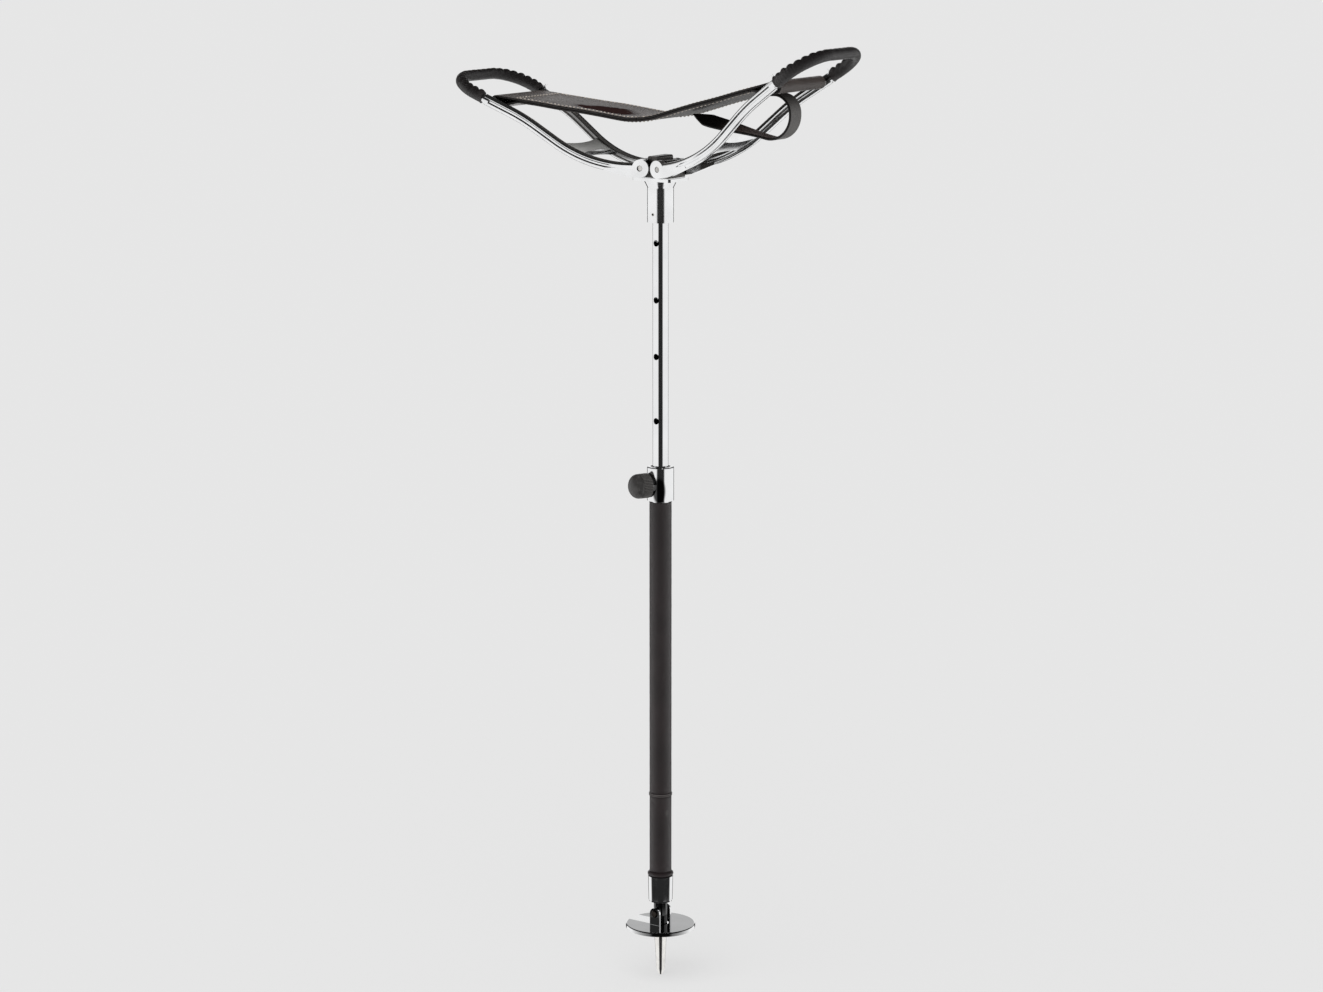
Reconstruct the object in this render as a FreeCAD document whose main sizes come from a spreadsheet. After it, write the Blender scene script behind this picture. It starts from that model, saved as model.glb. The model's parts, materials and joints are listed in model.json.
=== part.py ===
"""Adjustable walking stick seat: a telescopic stick with a folding foot plate and a leather sling
between two folding grip frames.

Millimetres and degrees. The origin is on the stick axis at the underside of the ground plate,
+Z is up, +X runs along the seat to the frame that stands higher, and -Y is the side of the lock holes.
"""
import FreeCAD, Part
import math
import os
import re

import Sketcher

Vector = FreeCAD.Vector
AXIS_Y = Vector(0, 1, 0)
AXIS_Z = Vector(0, 0, 1)
SIDES = {"left": -1, "right": 1}

SIZES = {
    # fits
    "running_clearance": 0.06,
    "fixed_clearance": 0.02,
    "soft_gap": 0.3,
    # tubes of the stick
    "outer_tube_radius": 10.0,
    "outer_tube_wall": 1.5,
    "inner_tube_radius": 8.0,
    "inner_tube_wall": 1.5,
    "inner_tube_overlap": 176.0,
    "guide_bush_length": 22.0,
    "plug_depth": 16.0,
    "plug_flange": 3.0,
    # ground plate and its hinge
    "plate_radius": 35.8,
    "plate_thickness": 4.5,
    "plate_edge_round": 1.2,
    "slot_width": 17.0,
    "ear_width": 12.0,
    "ear_thickness": 2.2,
    "plate_pin_height": 16.5,
    "plate_pin_radius": 2.5,
    "rivet_head_radius": 4.0,
    "rivet_head_height": 1.4,
    # hub, spike and ferrule
    "hub_radius": 7.0,
    "hub_stud_radius": 4.0,
    "hub_stud_length": 11.0,
    "spike_length": 51.0,
    "spike_top_radius": 6.8,
    "spike_low_radius": 4.3,
    "spike_point_length": 6.0,
    "spike_tip_radius": 1.6,
    "spike_stud_radius": 3.0,
    "spike_stud_length": 8.0,
    "ferrule_foot": 28.0,
    "ferrule_height": 27.8,
    "ferrule_floor": 6.0,
    "ferrule_top_radius": 13.0,
    "ferrule_low_radius": 12.4,
    "ferrule_round": 2.4,
    # leather on the stick
    "sleeve_leather": 1.25,
    "end_welt_height": 5.0,
    "end_welt_bulge": 2.0,
    "lower_sleeve_length": 80.6,
    "middle_welt_height": 3.0,
    "middle_welt_bulge": 0.8,
    "upper_sleeve_length": 304.6,
    # height lock
    "collar_radius": 13.75,
    "collar_height": 35.4,
    "collar_edge": 0.8,
    "collar_bush_height": 10.0,
    "lock_offset": 17.0,
    "lock_azimuth": -115.0,
    "lock_hole_radius": 3.25,
    "lock_boss_radius": 9.4,
    "lock_boss_reach": 14.2,
    "barrel_radius": 6.0,
    "barrel_wall": 1.0,
    "barrel_flange_radius": 8.4,
    "barrel_reach": 24.0,
    "barrel_cap": 1.5,
    "plunger_radius": 3.0,
    "plunger_stem_radius": 2.0,
    "plunger_shoulder": 1.6,
    "plunger_nose": 2.9,
    "spring_wire": 0.8,
    "spring_turns": 4.0,
    "knob_radius": 12.5,
    "knob_gap": 0.5,
    "knob_rib_length": 10.6,
    "knob_dome": 10.2,
    "knob_rib_count": 48,
    "knob_groove_radius": 0.55,
    # lock holes in the inner tube
    "hole_pitch_low": 65.2,
    "hole_pitch_high": 57.0,
    # head
    "head_gap": 246.6,
    "socket_radius": 13.4,
    "socket_height": 34.5,
    "socket_cover": 4.0,
    "funnel_height": 7.0,
    "flange_overhang": 13.5,
    "flange_depth": 34.0,
    "flange_thickness": 3.2,
    "flange_corner": 5.0,
    "block_overhang": 9.5,
    "block_height": 18.0,
    "block_corner": 4.0,
    "rib_length": 11.0,
    "rib_height": 3.6,
    "roll_pin_radius": 1.6,
    "roll_pin_wall": 0.6,
    "roll_pin_drop": 26.0,
    # frame hinges
    "hinge_half_spacing": 10.5,
    "hinge_rise": 9.5,
    "hinge_pin_radius": 2.9,
    "hinge_pin_bevel": 0.5,
    "ear_radius": 9.0,
    "ear_centre": 17.5,
    "frame_ear_thickness": 6.0,
    "frame_ear_boss": 4.5,
    "frame_ear_boss_radius": 8.3,
    "stop_gap": 0.6,
    "heel_flat": 14.0,
    "heel_length": 40.0,
    # frame arms and grip loops
    "left_lift": -0.8,
    "right_lift": 9.7,
    "arm_spread": 10.3,
    "arm_root": 57.7,
    "arm_rise": 86.0,
    "arm_tip": 46.0,
    "arm_bend_up": 32.5,
    "arm_bend_down": 8.8,
    "arm_bend_up_radius": 150.0,
    "arm_bend_down_radius": 200.0,
    "arm_height": 11.0,
    "arm_width": 7.0,
    "arm_crown": 2.8,
    "arm_groove_height": 2.6,
    "arm_groove_depth": 1.3,
    "arm_plain_low": 22.0,
    "arm_plain_high": 36.0,
    "arm_plain_proud": 0.1,
    "arm_plain_margin": 0.3,
    "loop_reach": 49.8,
    "loop_corner_radius": 33.0,
    "loop_rod_radius": 4.25,
    "grip_leather": 1.4,
    "brace_start": 68.0,
    "brace_length": 28.0,
    "brace_arch": 5.0,
    "brace_thickness": 4.5,
    "crossbar_setback": 7.0,
    "crossbar_radius": 4.0,
    # leather seat and closing strap
    "sling_leather": 2.1,
    "sling_half_width": 40.1,
    "sling_drop": 29.9,
    "sling_bend_radius": 100.0,
    "sling_flap": 28.0,
    "strap_width": 20.0,
    "strap_leather": 2.4,
    "strap_sewn": 14.0,
    "strap_under_bar": 9.2,
    "strap_loop_inset": 3.0,
    "strap_loop_drop": 48.5,
    "strap_loop_radius": 18.0,
    "strap_foot_radius": 23.5,
    "strap_run": 96.0,
    "strap_run_rise": 17.5,
    "strap_tongue": 22.5,
    "strap_tongue_rise": 6.0,
    "strap_tongue_radius": 100.0,
    "strap_point": 18.0,
}

doc = FreeCAD.newDocument("walking_stick_seat")
sheet = doc.addObject("Spreadsheet::Sheet", "Sizes")
for row, (alias, value) in enumerate(SIZES.items(), start=1):
    sheet.set("A%d" % row, alias)
    sheet.set("B%d" % row, str(value))
    sheet.setAlias("B%d" % row, alias)
doc.recompute()

# Heights along the stick, each built on the piece below it.
FERRULE_TOP = "(ferrule_foot + ferrule_height)"
END_WELT_TOP = "(%s + end_welt_height)" % FERRULE_TOP
LOWER_SLEEVE_TOP = "(%s + lower_sleeve_length)" % END_WELT_TOP
MIDDLE_WELT_TOP = "(%s + middle_welt_height)" % LOWER_SLEEVE_TOP
COLLAR_FOOT = "(%s + upper_sleeve_length)" % MIDDLE_WELT_TOP
COLLAR_TOP = "(%s + collar_height)" % COLLAR_FOOT
LOCK_HEIGHT = "(%s + lock_offset)" % COLLAR_FOOT
OUTER_TUBE_FOOT = "(ferrule_foot + ferrule_floor)"
OUTER_TUBE_TOP = "(%s - collar_bush_height)" % COLLAR_TOP
SOCKET_FOOT = "(%s + head_gap)" % COLLAR_TOP
SOCKET_TOP = "(%s + socket_height)" % SOCKET_FOOT
FLANGE_FOOT = "(%s + funnel_height)" % SOCKET_TOP
FLANGE_TOP = "(%s + flange_thickness)" % FLANGE_FOOT
HINGE_HEIGHT = "(%s + hinge_rise)" % FLANGE_TOP
INNER_TUBE_FOOT = "(%s - inner_tube_overlap)" % LOCK_HEIGHT
INNER_TUBE_TOP = "(%s + funnel_height - socket_cover)" % SOCKET_TOP
FLANGE_LENGTH = "(2 * (hinge_half_spacing + flange_overhang))"
BLOCK_LENGTH = "(2 * (hinge_half_spacing + block_overhang))"
BLOCK_DEPTH = "(2 * ear_centre - frame_ear_thickness - 4 * soft_gap)"


def formula(text):
    """The text with each size's name pointed at the sheet."""
    return re.sub(r"[a-z]\w+", lambda m: "Sizes." + m.group() if m.group() in SIZES else m.group(), text)


def value(text):
    """The number that a formula of sizes gives."""
    return float(sheet.evalExpression(formula(text)))


def bind(obj, **properties):
    """Ties properties of an object to formulas of sizes."""
    for name, text in properties.items():
        obj.setExpression(name, formula(text))


def closed_sketch(body, plane, points):
    """A closed polygon on one of the body's own planes, with both coordinates of each corner bound."""
    support = next(item for item in body.Origin.OriginFeatures if item.Role == plane)
    sketch = body.newObject("Sketcher::SketchObject", body.Name + "_outline")
    sketch.AttachmentSupport = [(support, "")]
    sketch.MapMode = "FlatFace"
    corners = [Vector(value(across), value(along), 0) for across, along in points]
    count = len(points)
    for index in range(count):
        sketch.addGeometry(Part.LineSegment(corners[index], corners[(index + 1) % count]))
    for index in range(count):
        sketch.addConstraint(Sketcher.Constraint("Coincident", index, 2, (index + 1) % count, 1))
    for index, pair in enumerate(points):
        for kind, axis, text in (("DistanceX", -2, pair[0]), ("DistanceY", -1, pair[1])):
            if text == "0":
                sketch.addConstraint(Sketcher.Constraint("PointOnObject", index, 1, axis))
            else:
                rule = Sketcher.Constraint(kind, -1, 1, index, 1, value(text))
                number = sketch.addConstraint(rule)
                sketch.setExpression("Constraints[%d]" % number, formula(text))
    return sketch


def turned(label, points):
    """A turned piece about its own Z axis, from corners given as radius and height."""
    body = doc.addObject("PartDesign::Body", label)
    body.Label = label
    sketch = closed_sketch(body, "XZ_Plane", points)
    feature = body.newObject("PartDesign::Revolution", label + "_turned")
    feature.Profile = sketch
    feature.ReferenceAxis = (sketch, ["V_Axis"])
    feature.Angle = 360.0
    sketch.Visibility = False
    body.Tip = feature
    return body


def ring(label, inner, outer, foot, top):
    """A plain tube between two radii and two heights."""
    return turned(label, [(inner, foot), (outer, foot), (outer, top), (inner, top)])


def bar(label, radius, length, start, direction):
    """A round bar from a point along a direction."""
    piece = doc.addObject("Part::Cylinder", label)
    piece.Label = label
    bind(piece, Radius=radius, Height=length)
    piece.Placement = FreeCAD.Placement(start, FreeCAD.Rotation(AXIS_Z, direction))
    return piece


def block(label, length, depth, height, foot):
    """A box centred on the stick axis that stands on a height."""
    piece = doc.addObject("Part::Box", label)
    piece.Label = label
    bind(piece, Length=length, Width=depth, Height=height)
    piece.setExpression("Placement.Base.x", formula("-(%s) / 2" % length))
    piece.setExpression("Placement.Base.y", formula("-(%s) / 2" % depth))
    piece.setExpression("Placement.Base.z", formula(foot))
    return piece


def joined(label, pieces):
    """Pieces made in one with each other."""
    result = doc.addObject("Part::MultiFuse", label)
    result.Label = label
    result.Shapes = pieces
    result.Refine = True
    return result


def cut(label, base, tools):
    """A piece with holes or slots taken out of it."""
    result = doc.addObject("Part::Cut", label)
    result.Label = label
    result.Base = base
    result.Tool = tools[0] if len(tools) == 1 else joined(label + "_tools", tools)
    return result


def rounded(label, base, radius, picks):
    """A piece with the picked edges rounded."""
    doc.recompute()
    result = doc.addObject("Part::Fillet", label)
    result.Label = label
    result.Base = base
    size = value(radius)
    edges = enumerate(base.Shape.Edges, start=1)
    result.Edges = [(number, size, size) for number, edge in edges if picks(edge)]
    return result


def solid(label, shape, placement=None):
    """A piece whose shape is worked out here from the sizes."""
    piece = doc.addObject("Part::Feature", label)
    piece.Label = label
    piece.Shape = shape
    piece.Placement = placement or FreeCAD.Placement()
    return piece


def across_y(height, radius, reach):
    """A drill along Y, through the stick at a height."""
    start = Vector(0, -value(reach), value(height))
    return bar("drill", radius, "2 * (%s)" % reach, start, AXIS_Y)


def rounded_path(corners, radii):
    """Straight runs joined by tangent arcs, one arc at each inner corner."""
    edges = []
    last = corners[0]
    for index, radius in enumerate(radii, start=1):
        corner = corners[index]
        back = (corners[index - 1] - corner).normalize()
        ahead = (corners[index + 1] - corner).normalize()
        half_turn = (math.pi - back.getAngle(ahead)) / 2
        reach = radius * math.tan(half_turn)
        inward = (back + ahead).normalize()
        middle = corner + inward * (radius / math.cos(half_turn) - radius)
        start = corner + back * reach
        end = corner + ahead * reach
        edges.append(Part.LineSegment(last, start).toShape())
        edges.append(Part.Arc(start, middle, end).toShape())
        last = end
    edges.append(Part.LineSegment(last, corners[-1]).toShape())
    return Part.Wire(edges)


def polar(length, angle):
    """A step in the XZ plane at an angle above +X."""
    return Vector(length * math.cos(math.radians(angle)), 0, length * math.sin(math.radians(angle)))


def swept(path, section):
    """A solid with one section all along a path."""
    return path.makePipeShell([section], True, False)


def strip(path, thickness, width):
    """A flat band along a path in the XZ plane, wide along Y."""
    tangent = path.OrderedEdges[0].tangentAt(path.OrderedEdges[0].FirstParameter)
    normal = tangent.cross(AXIS_Y).normalize()
    start = path.OrderedVertexes[0].Point
    corners = []
    for across, up in ((-1, -1), (1, -1), (1, 1), (-1, 1)):
        corners.append(start + AXIS_Y * (across * width / 2) + normal * (up * thickness / 2))
    return swept(path, Part.makePolygon(corners + corners[:1]))


# Foot: plate, hub, spike and ferrule.
def make_foot():
    disc = doc.addObject("Part::Cylinder", "plate_disc")
    bind(disc, Radius="plate_radius", Height="plate_thickness")
    disc = rounded("plate_edge", disc, "plate_edge_round", lambda edge: edge.Closed)
    mouth = block("slot_mouth", "plate_radius", "slot_width", "4 * plate_thickness", "-plate_thickness")
    mouth.setExpression("Placement.Base.x", formula("-plate_radius"))
    throat = bar("slot_throat", "slot_width / 2", "4 * plate_thickness",
                 Vector(0, 0, -value("plate_thickness")), AXIS_Z)
    lugs = []
    for side in SIDES.values():
        inner = "slot_width / 2" if side > 0 else "-slot_width / 2 - ear_thickness"
        stem = block("lug_stem", "ear_width", "ear_thickness", "plate_pin_height - plate_thickness",
                     "plate_thickness")
        stem.setExpression("Placement.Base.y", formula(inner))
        top = bar("lug_top", "ear_width / 2", "ear_thickness",
                  Vector(0, value(inner), value("plate_pin_height")), AXIS_Y)
        lugs += [stem, top]
    slotted = cut("slotted_disc", disc, [mouth, throat])
    drill = across_y("plate_pin_height", "plate_pin_radius + running_clearance", "plate_radius")
    cut("ground_plate", joined("plate_with_lugs", [slotted] + lugs), [drill])

    hub = turned("hub_blank", [
        ("spike_stud_radius + fixed_clearance", "0"),
        ("hub_radius", "0"),
        ("hub_radius", "ferrule_foot"),
        ("hub_stud_radius", "ferrule_foot"),
        ("hub_stud_radius", "ferrule_foot + hub_stud_length"),
        ("0", "ferrule_foot + hub_stud_length"),
        ("0", "spike_stud_length + fixed_clearance"),
        ("spike_stud_radius + fixed_clearance", "spike_stud_length + fixed_clearance"),
    ])
    pin_drill = across_y("plate_pin_height", "plate_pin_radius + fixed_clearance", "plate_radius")
    cut("foot_hub", hub, [pin_drill])
    turned("spike", [
        ("0", "-spike_length"),
        ("spike_tip_radius", "-spike_length"),
        ("spike_low_radius", "spike_point_length - spike_length"),
        ("spike_top_radius", "0"),
        ("spike_stud_radius", "0"),
        ("spike_stud_radius", "spike_stud_length"),
        ("0", "spike_stud_length"),
    ])
    lug_face = "(slot_width / 2 + ear_thickness + fixed_clearance)"
    pin = turned("plate_pin", [
        ("0", "-%s - rivet_head_height" % lug_face),
        ("rivet_head_radius * 0.7", "-%s - rivet_head_height" % lug_face),
        ("rivet_head_radius", "-" + lug_face),
        ("plate_pin_radius", "-" + lug_face),
        ("plate_pin_radius", lug_face),
        ("rivet_head_radius", lug_face),
        ("rivet_head_radius * 0.7", lug_face + " + rivet_head_height"),
        ("0", lug_face + " + rivet_head_height"),
    ])
    pin.Placement = FreeCAD.Placement(Vector(0, 0, value("plate_pin_height")),
                                      FreeCAD.Rotation(AXIS_Z, AXIS_Y))
    turned("ferrule", [
        ("hub_stud_radius + fixed_clearance", "ferrule_foot"),
        ("ferrule_low_radius - ferrule_round", "ferrule_foot"),
        ("ferrule_low_radius - ferrule_round * 0.3", "ferrule_foot + ferrule_round * 0.3"),
        ("ferrule_low_radius", "ferrule_foot + ferrule_round"),
        ("ferrule_top_radius", FERRULE_TOP),
        ("outer_tube_radius + fixed_clearance", FERRULE_TOP),
        ("outer_tube_radius + fixed_clearance", OUTER_TUBE_FOOT),
        ("hub_stud_radius + fixed_clearance", OUTER_TUBE_FOOT),
    ])


def welt(label, foot, top, bulge):
    """A rolled leather ring round the outer tube, fuller at its middle."""
    inner = "outer_tube_radius + fixed_clearance"
    outer = "outer_tube_radius + sleeve_leather"
    turned(label, [
        (inner, foot),
        (outer + " + %s * 0.4" % bulge, foot),
        (outer + " + %s" % bulge, "%s * 0.75 + %s * 0.25" % (foot, top)),
        (outer + " + %s" % bulge, "%s * 0.25 + %s * 0.75" % (foot, top)),
        (outer + " + %s * 0.4" % bulge, top),
        (inner, top),
    ])


# Lower stick: outer tube, its leather and the height collar.
def make_stick():
    inner = "outer_tube_radius + fixed_clearance"
    outer = "outer_tube_radius + sleeve_leather"
    lock_axis = lock_direction()
    lock_point = Vector(0, 0, value(LOCK_HEIGHT))
    tube = ring("outer_tube_blank", "outer_tube_radius - outer_tube_wall", "outer_tube_radius",
                OUTER_TUBE_FOOT, OUTER_TUBE_TOP)
    nose_hole = bar("nose_hole", "plunger_radius + running_clearance", "collar_radius",
                    lock_point, lock_axis)
    cut("outer_tube", tube, [nose_hole])
    welt("end_welt", FERRULE_TOP, END_WELT_TOP, "end_welt_bulge")
    ring("lower_leather_sleeve", inner, outer, END_WELT_TOP, LOWER_SLEEVE_TOP)
    welt("middle_welt", LOWER_SLEEVE_TOP, MIDDLE_WELT_TOP, "middle_welt_bulge")
    ring("upper_leather_sleeve", inner, outer, MIDDLE_WELT_TOP, COLLAR_FOOT)

    body = turned("collar_body", [
        ("0", COLLAR_FOOT),
        ("collar_radius - collar_edge", COLLAR_FOOT),
        ("collar_radius", COLLAR_FOOT + " + collar_edge"),
        ("collar_radius", COLLAR_TOP + " - collar_edge"),
        ("collar_radius - collar_edge", COLLAR_TOP),
        ("0", COLLAR_TOP),
    ])
    boss = bar("lock_boss", "lock_boss_radius", "lock_boss_reach", lock_point, lock_axis)
    bore = bar("collar_bore", "outer_tube_radius + fixed_clearance", "2 * collar_height",
               Vector(0, 0, value(COLLAR_FOOT + " - collar_height / 2")), AXIS_Z)
    barrel_hole = bar("barrel_hole", "barrel_radius + fixed_clearance", "2 * lock_boss_reach",
                      lock_point, lock_axis)
    cut("height_collar", joined("collar_with_boss", [body, boss]), [bore, barrel_hole])
    ring("collar_bush", "inner_tube_radius + running_clearance", "outer_tube_radius",
         OUTER_TUBE_TOP, COLLAR_TOP)


def lock_direction():
    """The way the lock knob points, square to the stick."""
    return FreeCAD.Rotation(AXIS_Z, value("lock_azimuth")).multVec(Vector(1, 0, 0))


# Pull knob, plunger, barrel and spring. Their own Z axis runs out from the stick axis.
def make_lock():
    seat = FreeCAD.Placement(Vector(0, 0, value(LOCK_HEIGHT)), FreeCAD.Rotation(AXIS_Z, lock_direction()))
    nose = "(inner_tube_radius + soft_gap)"
    shoulder = "(%s + plunger_nose)" % nose
    spring_foot = "(%s + plunger_shoulder)" % shoulder
    spring_top = "(barrel_reach - barrel_cap)"
    bore = "(barrel_radius - barrel_wall)"
    knob_foot = "(lock_boss_reach + knob_gap)"
    rib_end = "(%s + knob_rib_length)" % knob_foot
    knob_top = "(%s + knob_dome)" % rib_end
    stem_end = "(%s - knob_dome * 0.4)" % knob_top
    cavity = "(barrel_reach + knob_gap)"
    stem_hole = "plunger_stem_radius + running_clearance"
    turned("plunger_barrel", [
        (bore, shoulder),
        ("barrel_radius", shoulder),
        ("barrel_radius", "lock_boss_reach"),
        ("barrel_flange_radius", "lock_boss_reach"),
        ("barrel_flange_radius", "barrel_reach"),
        (stem_hole, "barrel_reach"),
        (stem_hole, spring_top),
        (bore, spring_top),
    ]).Placement = seat
    turned("plunger_pin", [
        ("0", nose),
        ("plunger_radius - plunger_nose * 0.2", nose),
        ("plunger_radius", "%s + plunger_nose * 0.2" % nose),
        ("plunger_radius", shoulder),
        (bore + " - running_clearance", shoulder),
        (bore + " - running_clearance", spring_foot),
        ("plunger_stem_radius", spring_foot),
        ("plunger_stem_radius", stem_end),
        ("0", stem_end),
    ]).Placement = seat

    knob = turned("lock_knob", [
        ("barrel_flange_radius + knob_gap", knob_foot),
        ("knob_radius", knob_foot),
        ("knob_radius", rib_end),
        ("knob_radius * 0.93", rib_end + " + knob_dome * 0.36"),
        ("knob_radius * 0.77", rib_end + " + knob_dome * 0.64"),
        ("knob_radius * 0.5", rib_end + " + knob_dome * 0.87"),
        ("knob_radius * 0.2", rib_end + " + knob_dome * 0.98"),
        ("0", knob_top),
        ("0", stem_end),
        ("plunger_stem_radius + fixed_clearance", stem_end),
        ("plunger_stem_radius + fixed_clearance", cavity),
        ("barrel_flange_radius + knob_gap", cavity),
    ])
    plain_volume = recomputed_volume(knob)
    floor = next(item for item in knob.Origin.OriginFeatures if item.Role == "XY_Plane")
    groove = knob.newObject("Sketcher::SketchObject", "knob_groove_outline")
    groove.AttachmentSupport = [(floor, "")]
    groove.MapMode = "FlatFace"
    groove.setExpression("AttachmentOffset.Base.z", formula(knob_foot))
    rim = Vector(value("knob_radius"), 0, 0)
    groove.addGeometry(Part.Circle(rim, AXIS_Z, value("knob_groove_radius")))
    groove.addConstraint(Sketcher.Constraint("Radius", 0, value("knob_groove_radius")))
    groove.addConstraint(Sketcher.Constraint("DistanceX", -1, 1, 0, 3, rim.x))
    groove.addConstraint(Sketcher.Constraint("PointOnObject", 0, 3, -1))
    groove.setExpression("Constraints[0]", formula("knob_groove_radius"))
    groove.setExpression("Constraints[1]", formula("knob_radius"))
    pocket = knob.newObject("PartDesign::Pocket", "knob_groove")
    pocket.Profile = groove
    pocket.Reversed = True
    pocket.setExpression("Length", formula("knob_rib_length"))
    doc.recompute()
    ribs = knob.newObject("PartDesign::PolarPattern", "knob_ribs")
    ribs.Originals = [pocket]
    ribs.Axis = (groove, ["N_Axis"])
    ribs.Angle = 360.0
    ribs.setExpression("Occurrences", formula("knob_rib_count"))
    knob.Tip = ribs
    if recomputed_volume(knob) > plain_volume - pocket_volume():
        raise RuntimeError("the knob's ribs were not cut")
    knob.Placement = seat

    spring = doc.addObject("PartDesign::Body", "plunger_spring")
    spring.Label = "plunger_spring"
    half_wire = "spring_wire / 2"
    mean = "(plunger_stem_radius + %s) / 2" % bore
    low = "%s + soft_gap + %s" % (spring_foot, half_wire)
    side = next(item for item in spring.Origin.OriginFeatures if item.Role == "XZ_Plane")
    wire = spring.newObject("Sketcher::SketchObject", "spring_wire_outline")
    wire.AttachmentSupport = [(side, "")]
    wire.MapMode = "FlatFace"
    wire.addGeometry(Part.Circle(Vector(value(mean), value(low), 0), AXIS_Z, value(half_wire)))
    wire.addConstraint(Sketcher.Constraint("Radius", 0, value(half_wire)))
    wire.addConstraint(Sketcher.Constraint("DistanceX", -1, 1, 0, 3, value(mean)))
    wire.addConstraint(Sketcher.Constraint("DistanceY", -1, 1, 0, 3, value(low)))
    for number, text in enumerate((half_wire, mean, low)):
        wire.setExpression("Constraints[%d]" % number, formula(text))
    coil = spring.newObject("PartDesign::AdditiveHelix", "spring_coil")
    coil.Profile = wire
    coil.ReferenceAxis = (wire, ["V_Axis"])
    coil.Mode = "height-turns-angle"
    rise = "%s - %s - 2 * soft_gap - spring_wire" % (spring_top, spring_foot)
    bind(coil, Height=rise, Turns="spring_turns")
    spring.Tip = coil
    spring.Placement = seat


def recomputed_volume(body):
    """The volume of a body after everything is worked out again."""
    doc.recompute()
    return body.Shape.Volume


def pocket_volume():
    """A tenth of what the rib grooves take out of a knob."""
    area = math.pi * value("knob_groove_radius") ** 2 / 2
    return 0.1 * area * value("knob_rib_length") * value("knob_rib_count")


# Sliding tube with its holes, guide bush, end plug and head.
def make_upper():
    tube = ring("inner_tube_blank", "inner_tube_radius - inner_tube_wall", "inner_tube_radius",
                INNER_TUBE_FOOT, INNER_TUBE_TOP)
    drills = []
    for low, high in ((0, 0), (1, 0), (2, 0), (2, 1), (2, 2)):
        height = "%s + %d * hole_pitch_low + %d * hole_pitch_high" % (LOCK_HEIGHT, low, high)
        drills.append(bar("lock_drill", "lock_hole_radius", "2 * inner_tube_radius",
                          Vector(0, 0, value(height)), -AXIS_Y))
    pin_height = "(%s - roll_pin_drop)" % SOCKET_TOP
    drills.append(across_y(pin_height, "roll_pin_radius + fixed_clearance", "socket_radius"))
    cut("inner_tube", tube, drills)
    ring("lower_guide_bush", "inner_tube_radius + running_clearance",
         "outer_tube_radius - outer_tube_wall - running_clearance",
         INNER_TUBE_FOOT, INNER_TUBE_FOOT + " + guide_bush_length")
    plug_radius = "inner_tube_radius - inner_tube_wall - fixed_clearance"
    plug_foot = INNER_TUBE_FOOT + " - plug_flange - running_clearance"
    turned("tube_plug", [
        ("0", plug_foot),
        ("inner_tube_radius", plug_foot),
        ("inner_tube_radius", INNER_TUBE_FOOT + " - running_clearance"),
        (plug_radius, INNER_TUBE_FOOT + " - running_clearance"),
        (plug_radius, INNER_TUBE_FOOT + " + plug_depth"),
        ("0", INNER_TUBE_FOOT + " + plug_depth"),
    ])

    socket = turned("head_socket", [
        ("0", SOCKET_FOOT),
        ("socket_radius", SOCKET_FOOT),
        ("socket_radius", SOCKET_TOP),
        ("flange_depth / 2", FLANGE_FOOT),
        ("0", FLANGE_FOOT),
    ])
    flange = block("head_flange", FLANGE_LENGTH, "flange_depth", "flange_thickness", FLANGE_FOOT)
    flange = rounded("flange_rounded", flange, "flange_corner", upright)
    middle = block("head_block", BLOCK_LENGTH, BLOCK_DEPTH, "block_height", FLANGE_TOP)
    middle = rounded("block_rounded", middle, "block_corner", upper_end)
    rib = block("head_rib", "rib_length", BLOCK_DEPTH, "block_height + rib_height", FLANGE_TOP)
    rib = rounded("rib_rounded", rib, "rib_height / 2", upper_end)
    tools = [bar("socket_bore", "inner_tube_radius + fixed_clearance",
                 "socket_height + funnel_height - socket_cover + flange_thickness",
                 Vector(0, 0, value(SOCKET_FOOT + " - flange_thickness")), AXIS_Z)]
    tools.append(across_y(pin_height, "roll_pin_radius + fixed_clearance", "2 * socket_radius"))
    pin_end = "(ear_centre + frame_ear_thickness / 2)"
    for name, side in SIDES.items():
        drill = across_y(HINGE_HEIGHT, "hinge_pin_radius + fixed_clearance", "flange_depth")
        drill.setExpression("Placement.Base.x", formula("%d * hinge_half_spacing" % side))
        tools.append(drill)
        pin = turned(name + "_hinge_pin", [
            ("0", "-" + pin_end),
            ("hinge_pin_radius - hinge_pin_bevel", "-" + pin_end),
            ("hinge_pin_radius", "hinge_pin_bevel - " + pin_end),
            ("hinge_pin_radius", pin_end + " - hinge_pin_bevel"),
            ("hinge_pin_radius - hinge_pin_bevel", pin_end),
            ("0", pin_end),
        ])
        pin.Placement = FreeCAD.Placement(hinge_point(side), FreeCAD.Rotation(AXIS_Z, AXIS_Y))
    cut("seat_head", joined("head_casting", [socket, flange, middle, rib]), tools)
    roll_pin = ring("head_roll_pin", "roll_pin_radius - roll_pin_wall", "roll_pin_radius",
                    "-socket_radius", "socket_radius")
    roll_pin.Placement = FreeCAD.Placement(Vector(0, 0, value(pin_height)), FreeCAD.Rotation(AXIS_Z, AXIS_Y))


def upright(edge):
    """Whether an edge runs along Z."""
    return abs(edge.tangentAt(edge.FirstParameter).z) > 0.99


def upper_end(edge):
    """Whether an edge lies along Y at the top of its block."""
    tangent = edge.tangentAt(edge.FirstParameter)
    return abs(tangent.y) > 0.99 and edge.CenterOfMass.z > value(HINGE_HEIGHT)


def hinge_point(side):
    """The middle of a frame's hinge pin."""
    return Vector(side * value("hinge_half_spacing"), 0, value(HINGE_HEIGHT))


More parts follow.
